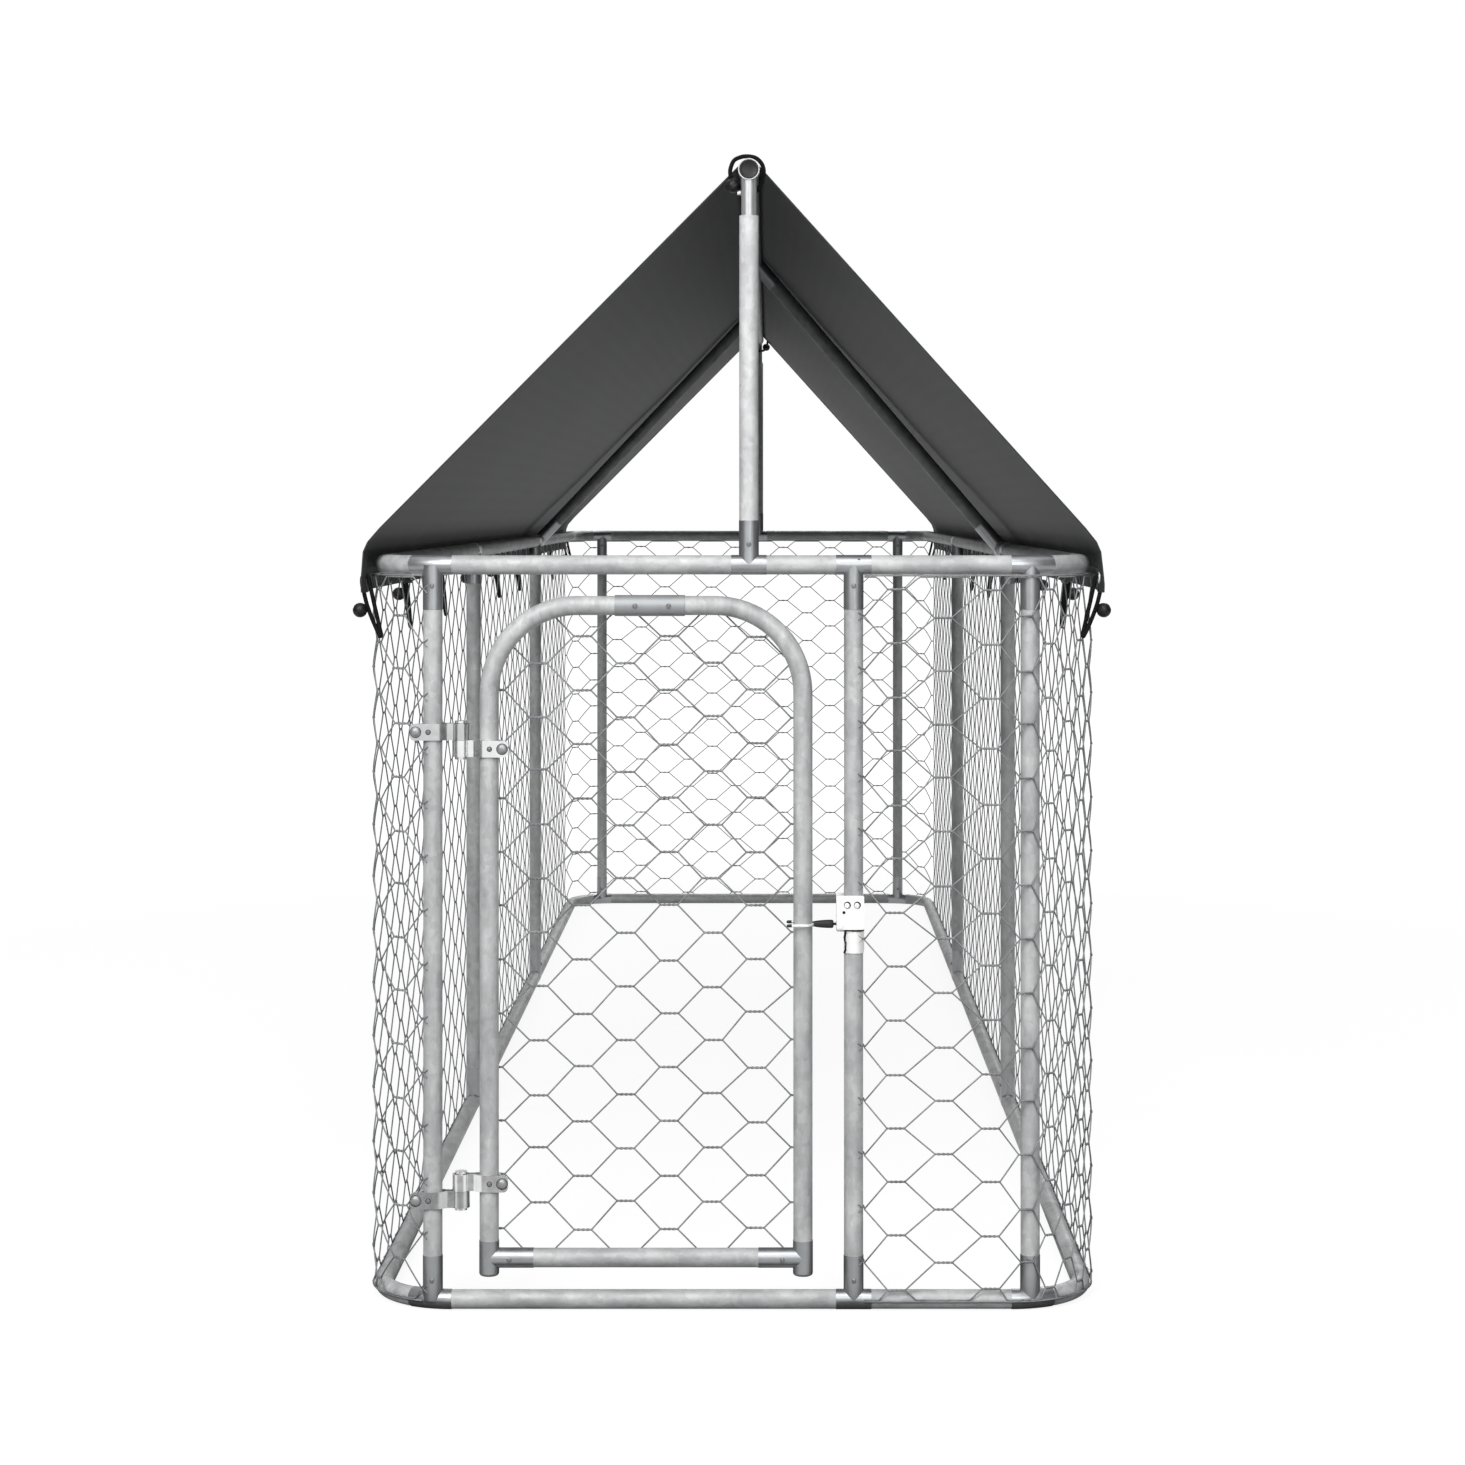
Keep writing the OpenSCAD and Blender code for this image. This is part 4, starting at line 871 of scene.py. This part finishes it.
def bungees():
    """Cords, balls and crimps of all the bungees."""
    cords, balls, crimps = [], [], []
    for side in (-1, 1):
        for y in EYELET_ROW[1:-1]:
            cords.append(skirt_bungee(side, y))
            balls.append(ball((side * 498.8, y, HEM_Z - 19), (side * 0.9, 0.2, 0.4)))
        for end in (-1, 1):
            cords.append(corner_bungee(side, end))
            ball_at = (side * 488.6, end * (LAST_EYELET + 9), HEM_Z - 26)
            balls.append(ball(ball_at, (side * 0.9, 0.2 * end, 0.4)))
            stub = [(side * px, end * (LAST_EYELET + py), pz) for px, py, pz in BALL_STUB]
            cords.append(sweep(stub + [ball_at], CORD_R, 10, (0, 0, 1)))
    for end in (-1, 1):
        cords.append(ridge_bungee(end))
        balls.append(ball((RIDGE_X + end * 20.8, end * 1977.5, 1465.5), (0.5 * end, 0.3 * end, 0.8)))
        crimp = [(0.0, -3.0), (2.6, -3.0), (3.1, -2.4), (3.1, 2.4), (2.6, 3.0), (0.0, 3.0)]
        crimps.append(lathe(crimp, 20, (RIDGE_X + end * 12.2, end * 1976.0, 1456.4), (1.0, 0.0, -0.1)))
    return join(cords), join(balls), join(crimps)


cord_shape, ball_shape, crimp_shape = bungees()
piece("bungee_cords", cord_shape, CORD_BRAID, "frame", ("bungee_loops",))
piece("bungee_ball_ends", ball_shape, BLACK_NYLON_AND_SHADE, "frame", ("bungee_balls",), 45)
piece("bungee_crimps", crimp_shape, BRIGHT_STEEL, "frame", (), 40)

# Screws, bolts and plugs


def pan_screw(seat, out, head=3.2, turn=0.0):
    """Pan head with a cross recess, seated at a point and facing out."""
    rings, spokes = 7, 24
    spin = Vector((0, 0, 1)).rotation_difference(Vector(out)).to_matrix() @ Matrix.Rotation(turn, 3, "Z")
    points = [(0, 0, 1.2)]
    for i in range(1, rings + 1):
        r = head * i / rings
        for j in range(spokes):
            a = 2 * math.pi * j / spokes
            x, y = r * math.cos(a), r * math.sin(a)
            dome = 2.4 * (1 - (i / rings) ** 4 * 0.55)
            in_cross = min(abs(x), abs(y)) < 0.16 * head and r < 0.62 * head
            points.append((x, y, dome - (1.1 if in_cross else 0)))
    points += [(head * math.cos(2 * math.pi * j / spokes), head * math.sin(2 * math.pi * j / spokes), -0.1)
               for j in range(spokes)]
    faces = [[0, 1 + j, 1 + (j + 1) % spokes] for j in range(spokes)]
    for i in range(rings):
        a, b = 1 + i * spokes, 1 + (i + 1) * spokes
        faces += [[a + j, b + j, b + (j + 1) % spokes, a + (j + 1) % spokes] for j in range(spokes)]
    return np.array(points) @ np.array(spin).T + np.array(seat), faces


def round_bolt(seat, out, head, through, nut):
    """Mushroom head bolt with its nut behind the plates that it clamps."""
    dome = [(0.0, 3.1), (head * 0.35, 2.95), (head * 0.65, 2.4), (head * 0.88, 1.3)]
    dome += [(head, 0.35), (head, 0.0), (0.0, 0.0)]
    ring = [(0.0, 0.0), (nut, 0.0), (nut, 4.6), (nut * 0.9, 5.2), (0.0, 5.2)]
    thread = [(0.0, 0.0), (3.0, 0.0), (3.0, 7.0), (2.4, 7.6), (0.0, 7.6)]
    way = Vector(out)
    back = Vector(seat) - way * through
    inward = tuple(-way)
    return join([lathe(dome, 28, seat, out), lathe(ring, 6, back, inward), lathe(thread, 16, back, inward)])


screw_random = random.Random(5)
TO_FRONT = (0, -1, 0)
TO_BACK = (0, 1, 0)


def frame_screw_heads():
    heads = []
    for low, z in ((1, LOW_Z), (-1, TOP_Z)):
        at = z + low * STEM_SCREW
        for x in (-POST_X, MID_POST_X):
            heads.append(((x, FRONT_Y - FITTING_R, at), TO_FRONT))
        heads.append(((POST_X, FITTING_R - POST_Y, at), TO_BACK))
        for x in (-POST_X, POST_X):
            heads.append(((x, POST_Y - FITTING_R, at), TO_FRONT))
        for side in (-1, 1):
            for y in SIDE_POSTS_Y:
                heads.append(((side * (SIDE_X - FITTING_R), y, at), (-side, 0, 0)))
    heads.append(((RIDGE_X, FRONT_Y - FITTING_R, TOP_Z + STEM_SCREW), TO_FRONT))
    heads.append(((RIDGE_X, -FRONT_Y + FITTING_R, TOP_Z + STEM_SCREW), TO_BACK))
    return join([pan_screw(seat, out, turn=screw_random.uniform(0, math.pi)) for seat, out in heads])


piece("frame_screw_heads", frame_screw_heads(), BOLT_STEEL, "frame", ("frame_screws",), 35)

SLEEVE_R = 13.8
SLEEVE_SCREWS = (-125.6, -81.9)
LATCH_SCREWS = (-9.0, 4.0)
LATCH_SCREW_Z = 528.0
LATCH_FACE = FRONT_Y - 16.0

door_heads = [(DOOR_LEFT + STEM_SCREW, DOOR_FOOT, FITTING_R), (DOOR_RIGHT - STEM_SCREW, DOOR_FOOT, FITTING_R)]
door_heads += [(x, DOOR_TOP, SLEEVE_R) for x in SLEEVE_SCREWS]
piece("door_screw_heads",
      join([pan_screw((x, FRONT_Y - stand, z), TO_FRONT, turn=screw_random.uniform(0, math.pi))
            for x, z, stand in door_heads]),
      BOLT_STEEL, "door", ("door_screws",), 35)
latch_seats = [(MID_POST_X + x, LATCH_FACE - 0.2, LATCH_SCREW_Z) for x in LATCH_SCREWS]
piece("latch_screw_heads",
      join([pan_screw(seat, TO_FRONT, 3.5, screw_random.uniform(0, math.pi)) for seat in latch_seats]),
      BRIGHT_STEEL, "frame", ("latch_screws",), 35)

# Hinges: a clamp strap, a round bolt, a small screw, and dark rings of painted shade round the heads, for
# each leaf

EAR_FRONT = 14.8
DOOR_LEAF_Z = (730.85, 165.85)
POST_BOLT = 21.0
POST_SCREW = 4.6
DOOR_BOLT = 18.0
DOOR_SCREW = 1.5
EAR_ROUND = 6.0
EAR_STEPS = (0.0, 0.5, 1.4, 2.8, 4.4, EAR_ROUND)
LEAF_HALF = 10.85
STRAP_T = 2.0
BARREL_R = 10.4
BAND_R = 13.7


def hinge_strap(x, mid, ear_way, bolt):
    """Clamp strap of a hinge leaf: a front plate, a fold back to the barrel, round the pin, then round the
    back of the tube to the ear. ear_way is the side of the tube with the ear."""
    front = STRAP_T / 2 - EAR_FRONT
    ear = bolt + 7.5
    reach = abs(HINGE_X - x)
    path = [(ear - step, front) for step in EAR_STEPS]
    path += [(u, front) for u in (bolt - 3, 8.0, 0.0, -3.0)]
    path += [(-7.0, front + 0.6), (-10.0, front + 1.9), (-13.0, -10.0), (-16.0, -7.6)]
    path += [(-18.5, -5.8), (-21.0, -5.0), (-24.0, -4.8)]
    path += [(u - reach, v) for u, v in arc(BARREL_R, -27, -334, -18)]
    path += [(-24.0, 4.9), (-19.0, 5.4), (-15.0, 6.6)]
    path += arc(BAND_R, 142, 19, -12)
    path += [(13.6, -2.0), (14.4, -6.0), (15.6, -9.0), (17.6, -10.6)]
    path += [(ear - step, -10.8) for step in EAR_STEPS[::-1]]
    rounded = len(EAR_STEPS)
    half = []
    for i, (u, _) in enumerate(path):
        from_end = ear - u if i < rounded or i >= len(path) - rounded else EAR_ROUND
        half.append(LEAF_HALF - EAR_ROUND + math.sqrt(max(0.0, EAR_ROUND ** 2 - (EAR_ROUND - from_end) ** 2)))
    plan = [(x + ear_way * u, FRONT_Y + v) for u, v in path]
    return strap(plan, half, STRAP_T, mid)


def hinge_bolts(places, head, heights):
    """Round bolt and small screw of each leaf."""
    bolt_x, screw_x = places
    ear = FRONT_Y - EAR_FRONT
    bolts = [round_bolt((bolt_x, ear, z), TO_FRONT, head, 5.0, 5.0) for z in heights]
    return join(bolts + [pan_screw((screw_x, ear, z), TO_FRONT, 2.6) for z in heights])


def hinge_shade_rings(places, heights):
    """Dark rings under the bolt and the small screw of each leaf: painted shade round the heads, drawn as
    washers.
    """
    parts = []
    for z in heights:
        for x, r in zip(places, (7.5, 3.5)):
            ring = [(0.0, 0.0), (r, 0.0), (r, 0.25), (r - 0.3, 0.4), (0.0, 0.4)]
            parts.append(lathe(ring, 28, (x, FRONT_Y - EAR_FRONT, z), TO_FRONT))
    return join(parts)


post_straps = join([hinge_strap(-POST_X, z, -1, POST_BOLT) for z in POST_LEAF_Z])
door_straps = join([hinge_strap(DOOR_LEFT, z, 1, DOOR_BOLT) for z in DOOR_LEAF_Z])
post_places = (-POST_X - POST_BOLT, -POST_X - POST_SCREW)
door_places = (DOOR_LEFT + DOOR_BOLT, DOOR_LEFT + DOOR_SCREW)
piece("post_hinge_straps", post_straps, SHADED_POST_HINGE_STEEL, "frame",
      ("upper_post_hinge", "lower_post_hinge"), 35)
piece("door_hinge_straps", door_straps, HINGE_STEEL, "door",
      ("upper_door_hinge", "lower_door_hinge"), 35)
piece("post_hinge_bolt_set", hinge_bolts(post_places, 6.9, POST_LEAF_Z), BOLT_STEEL, "frame",
      ("post_hinge_bolts",), 40)
piece("door_hinge_bolt_set", hinge_bolts(door_places, 6.7, DOOR_LEAF_Z), BOLT_STEEL, "door",
      ("door_hinge_bolts",), 40)
piece("post_hinge_shade_rings", hinge_shade_rings(post_places, POST_LEAF_Z), DARK_DIP_AND_SHADE, "frame",
      (), 40)
piece("door_hinge_shade_rings", hinge_shade_rings(door_places, DOOR_LEAF_Z), DARK_DIP_AND_SHADE, "door",
      (), 40)


def ridge_plugs():
    """Push-in plugs with a dished face and a flange on the end of the tube."""
    profile = [(0.0, -0.5), (8.6, -0.3), (10.4, 0.4), (11.4, 0.8), (12.2, 0.6), (12.6, 0.1), (12.6, -0.3)]
    profile += [(11.2, -0.4), (11.2, -6.0), (0.0, -6.0)]
    seat = RIDGE_END + 0.3
    return join([lathe(profile, 40, (RIDGE_X, end * seat, RIDGE_Z), (0, end, 0)) for end in (-1, 1)])


piece("ridge_plugs", ridge_plugs(), BLACK_NYLON_AND_SHADE, "frame", ("ridge_end_caps",), 40)


# Latch: bracket plates and saddle on the post with strips of painted shade, and a fork of two tines in a grip
# darkened with painted shade

SADDLE_R = 13.3
SADDLE_Z = 480.2
SADDLE_HALF = 15.0
PLATE_X = (136.6, 172.4)
PLATE_TOP = 540.6
PLATE_T = 2.0
PLATE_ROUND = 2.4


def latch_bracket():
    """Front and back plate on the post, and a saddle strap below them that is open on the door's side."""
    front = plate(round_box(*PLATE_X, 496.4, PLATE_TOP, PLATE_ROUND), LATCH_FACE, LATCH_FACE + PLATE_T)
    back = plate(round_box(*PLATE_X, 490.0, PLATE_TOP, PLATE_ROUND), FRONT_Y + 13.6, FRONT_Y + 13.6 + PLATE_T)
    path = [(MID_POST_X + u, FRONT_Y + v) for u, v in arc(SADDLE_R, -142, 143, 12)]
    return join([front, back, strap(path, SADDLE_HALF, 1.4, SADDLE_Z)])


piece("latch_plates_and_saddle", latch_bracket(), BRIGHT_STEEL, "frame",
      ("latch_bracket",), 35)


def saddle_painted_shade():
    """Black strips of painted shade: a wavy one with an uneven edge for the shaded fold beside the saddle's
    open edge, and one along the shadow under the front plate's lower edge.
    """
    edge = []
    for z in np.linspace(495.0, 465.0, 25):
        waves = 0.7 * math.sin(z / 3.1) + 0.5 * math.sin(z / 1.7 + 1.0)
        notch = 2.2 * math.exp(-((z - 477) / 2.5) ** 2)
        edge.append((147.6 + waves + notch, FRONT_Y - 9.3, z))
    brim = []
    for i, (u, v) in enumerate(arc(14.9, -142, -29, 7)):
        brim.append((MID_POST_X + u, FRONT_Y + v, 495.2 - 0.05 * i))
    return join([sweep(edge, 1.4, 8, (0, 1, 0)), sweep(brim, 1.0, 8, (0, 0, 1))])


piece("saddle_painted_shade", saddle_painted_shade(), BLACK_NYLON_AND_SHADE, "frame")


def latch_shade_rings():
    """Black rings of painted shade, set off-centre under the plate's screws for the shade round their heads,
    and a black disc of painted shade for the plate's spare screw hole.
    """
    ring = [(2.6, 0.0), (4.5, 0.0), (4.6, 0.3), (4.3, 0.6), (2.6, 0.6), (2.6, 0.0)]
    seats = [(MID_POST_X + x + 0.5, LATCH_FACE, LATCH_SCREW_Z + 0.5) for x in LATCH_SCREWS]
    hole = [(0.0, 0.05), (1.5, 0.1), (1.9, 0.25), (2.1, 0.0), (0.0, 0.0)]
    parts = [lathe(ring, 28, seat, TO_FRONT) for seat in seats]
    return join(parts + [lathe(hole, 24, (146.0, LATCH_FACE, 518.8), TO_FRONT)])


piece("latch_screw_shade_rings", latch_shade_rings(), BLACK_NYLON_AND_SHADE, "frame", (), 40)

FORK_Z = 502.0
PIVOT_X = 141.0
TINE_Y = 18.8


def fork_tines():
    """Two bent tines of round bar, one on each side of the door's stile."""
    plan = [(106.0, 0.0), (105.4, 7.0), (103.6, 13.0), (100.0, 17.6)]
    plan += [(x, TINE_Y) for x in (96.0, 90.0, 84.0, 79.0, 74.0)]
    parts = []
    for way in (-1, 1):
        parts.append(sweep([(x, FRONT_Y + way * y, FORK_Z) for x, y in plan], 1.9, 12, (0, 0, 1)))
    return join(parts)


def fork_tips():
    """Dipped ends of the tines."""
    profile = [(0.0, -2.0), (1.3, -1.7), (1.9, -0.8), (2.1, 0.6), (2.1, 4.0), (1.95, 4.8), (0.0, 4.8)]
    return join([lathe(profile, 16, (73.6, FRONT_Y + way * TINE_Y, FORK_Z), (1, 0, 0)) for way in (-1, 1)])


def fork_grip():
    """Grip of the fork: a rounded block that narrows to the tines, with a barrel on the pivot. Its near-black
    colour is the shade of the fork's steel body, painted in.
    """
    rows = [(101.6, 2.4, 1.6), (102.6, 3.4, 2.4), (106.0, 4.2, 3.2), (112.0, 5.0, 4.2), (118.0, 5.4, 4.8),
            (125.0, 5.8, 5.2), (130.6, 5.8, 5.2), (132.4, 5.0, 4.6), (133.0, 3.0, 2.8)]
    points, faces, sides = [], [], 20
    for x, half_y, half_z in rows:
        for j in range(sides):
            a = 2 * math.pi * j / sides
            c, s = math.cos(a), math.sin(a)
            points.append((x, FRONT_Y + half_y * math.copysign(abs(c) ** 0.6, c),
                           FORK_Z + half_z * math.copysign(abs(s) ** 0.6, s)))
    for i in range(len(rows) - 1):
        a, b = i * sides, (i + 1) * sides
        faces += [[a + j, a + (j + 1) % sides, b + (j + 1) % sides, b + j] for j in range(sides)]
    faces += [list(range(sides))[::-1], list(range((len(rows) - 1) * sides, len(rows) * sides))]
    barrel = [(2.7, -13.0), (4.5, -13.0), (4.7, -12.6), (4.7, 12.6), (4.5, 13.0), (2.7, 13.0), (2.7, -13.0)]
    stem = sweep([(x, FRONT_Y, FORK_Z) for x in (131, 134, 137, 139)], 1.7, 12, (0, 0, 1))
    return join([(np.array(points), faces), stem, lathe(barrel, 24, (PIVOT_X, FRONT_Y, FORK_Z), (0, 1, 0))])


piece("latch_fork_tines", fork_tines(), BRIGHT_STEEL, "latch", ("latch_fork",))
piece("latch_fork_tips", fork_tips(), DARK_DIP_AND_SHADE, "latch", (), 40)
piece("latch_fork_grip", fork_grip(), DARK_DIP_AND_SHADE, "latch", (), 40)


# Floor, light and camera


def background_switch(tree):
    """1 for rays that see the background as it is: camera, glossy and transmission rays."""
    path = add(tree, "ShaderNodeLightPath")
    seen = add(tree, "ShaderNodeMath", {0: path.outputs["Is Camera Ray"], 1: path.outputs["Is Glossy Ray"]},
               operation="MAXIMUM")
    return add(tree, "ShaderNodeMath", {0: seen.outputs[0], 1: path.outputs["Is Transmission Ray"]},
               operation="MAXIMUM").outputs[0]


SKY_LEVEL = 0.2
FLOOR_GLOW = 0.9

world = bpy.data.worlds.new("studio")
bpy.context.scene.world = world
world.use_nodes = True
tree = world.node_tree
tree.nodes.clear()
white = add(tree, "ShaderNodeBackground", {"Color": srgb("#ffffff"), "Strength": 1.0})
soft = add(tree, "ShaderNodeBackground", {"Color": srgb("#fafafa"), "Strength": SKY_LEVEL})
both = add(tree, "ShaderNodeMixShader", {0: background_switch(tree), 1: soft.outputs[0], 2: white.outputs[0]})
add(tree, "ShaderNodeOutputWorld", {"Surface": both.outputs[0]})

floor_material, tree = new_material("pale_studio_floor")
paint = add(tree, "ShaderNodeBsdfDiffuse", {"Color": srgb("#8e8e8e")})
shadow = add(tree, "ShaderNodeBsdfDiffuse", {"Color": srgb("#666666")})
place = add(tree, "ShaderNodeTexCoord").outputs["Object"]
reach = add(tree, "ShaderNodeVectorMath", {0: place}, operation="LENGTH").outputs["Value"]
near_and_far = {"From Min": 2.2, "From Max": 6.0, "To Min": FLOOR_GLOW, "To Max": 1.0}
level = add(tree, "ShaderNodeMapRange", {"Value": reach, **near_and_far})
glow = add(tree, "ShaderNodeEmission", {"Color": srgb("#ffffff"), "Strength": level.outputs[0]})
lit = add(tree, "ShaderNodeAddShader", {0: shadow.outputs[0], 1: glow.outputs[0]})
seen = add(tree, "ShaderNodeMixShader", {0: background_switch(tree), 1: paint.outputs[0], 2: lit.outputs[0]})
add(tree, "ShaderNodeOutputMaterial", {"Surface": seen.outputs[0]})


def stage_sheet(name, corners, material):
    """Flat sheet of the studio, which is no part of the run."""
    mesh = bpy.data.meshes.new(name)
    mesh.from_pydata(corners, [], [(0, 1, 2, 3)])
    mesh.materials.append(material)
    made = bpy.data.objects.new(name, mesh)
    bpy.context.scene.collection.objects.link(made)
    return made


FLOOR_HALF = 60.0
square = [(-1, -1, 0), (1, -1, 0), (1, 1, 0), (-1, 1, 0)]
floor = stage_sheet("floor", [(FLOOR_HALF * x, FLOOR_HALF * y, z) for x, y, z in square], floor_material)
floor.location.z = -0.5 * MM


def soft_box(name, place, target, size, watts):
    lamp = bpy.data.lights.new(name, "AREA")
    lamp.shape = "SQUARE"
    lamp.size = size
    lamp.energy = watts
    holder = bpy.data.objects.new(name, lamp)
    holder.location = place
    holder.rotation_euler = (Vector(target) - Vector(place)).to_track_quat("-Z", "Y").to_euler()
    bpy.context.scene.collection.objects.link(holder)


soft_box("front_key", (-1.6, -4.9, 2.9), (0, -1.9, 0.9), 1.8, 102)
soft_box("front_fill", (1.4, -6.8, 2.6), (0, -1.9, 0.6), 2.0, 94)
soft_box("front_top", (0.0, -5.2, 5.4), (0, -1.9, 0.7), 2.4, 112)
soft_box("back_key", (1.2, 6.4, 4.6), (0, 1.9, 0.7), 2.6, 160)
soft_box("left_side", (-5.6, 0.0, 3.2), (0, 0, 0.6), 3.0, 76)
soft_box("right_side", (5.6, 0.0, 3.2), (0, 0, 0.6), 3.0, 66)

# Flags at both sides of the studio and on the ground. Only reflections show them: they give bright metal its
# dark bands
BLACK_CLOTH = "#1c1c1c"
GREY_CLOTH = "#787878"
FLAGS = {
    "left_flag": (BLACK_CLOTH, [(-4.2, -6.2, 0), (-4.2, 9.0, 0), (-4.2, 9.0, 6.0), (-4.2, -6.2, 6.0)]),
    "right_flag": (BLACK_CLOTH, [(4.2, -6.2, 0), (4.2, 9.0, 0), (4.2, 9.0, 6.0), (4.2, -6.2, 6.0)]),
    "ground_flag": (BLACK_CLOTH, [(-0.7, -2.06, 0), (0.7, -2.06, 0), (0.7, -1.4, 0), (-0.7, -1.4, 0)]),
    "front_ground_flag": (GREY_CLOTH, [(-1.0, -3.1, 0), (0.1, -3.1, 0), (0.1, -2.43, 0), (-1.0, -2.43, 0)]),
}
for name, (tone, corners) in FLAGS.items():
    flag_cloth, tree = new_material(name + "_cloth")
    cloth = add(tree, "ShaderNodeBsdfDiffuse", {"Color": srgb(tone)})
    add(tree, "ShaderNodeOutputMaterial", {"Surface": cloth.outputs[0]})
    flag = stage_sheet(name, corners, flag_cloth)
    flag.visible_camera = False
    flag.visible_diffuse = False
    flag.visible_transmission = False
    flag.visible_shadow = False

camera_data = bpy.data.cameras.new("front_camera")
camera_data.sensor_width = 36.0
camera_data.lens = 73.3
camera_data.shift_x = -0.0240
camera_data.shift_y = -0.1542
camera_data.clip_end = 200.0
camera = bpy.data.objects.new("front_camera", camera_data)
camera.location = (0.047, -5.8765, 1.046)
camera.rotation_euler = (math.pi / 2, 0, 0)
bpy.context.scene.collection.objects.link(camera)
bpy.context.scene.camera = camera
bpy.context.scene.view_settings.view_transform = "Standard"
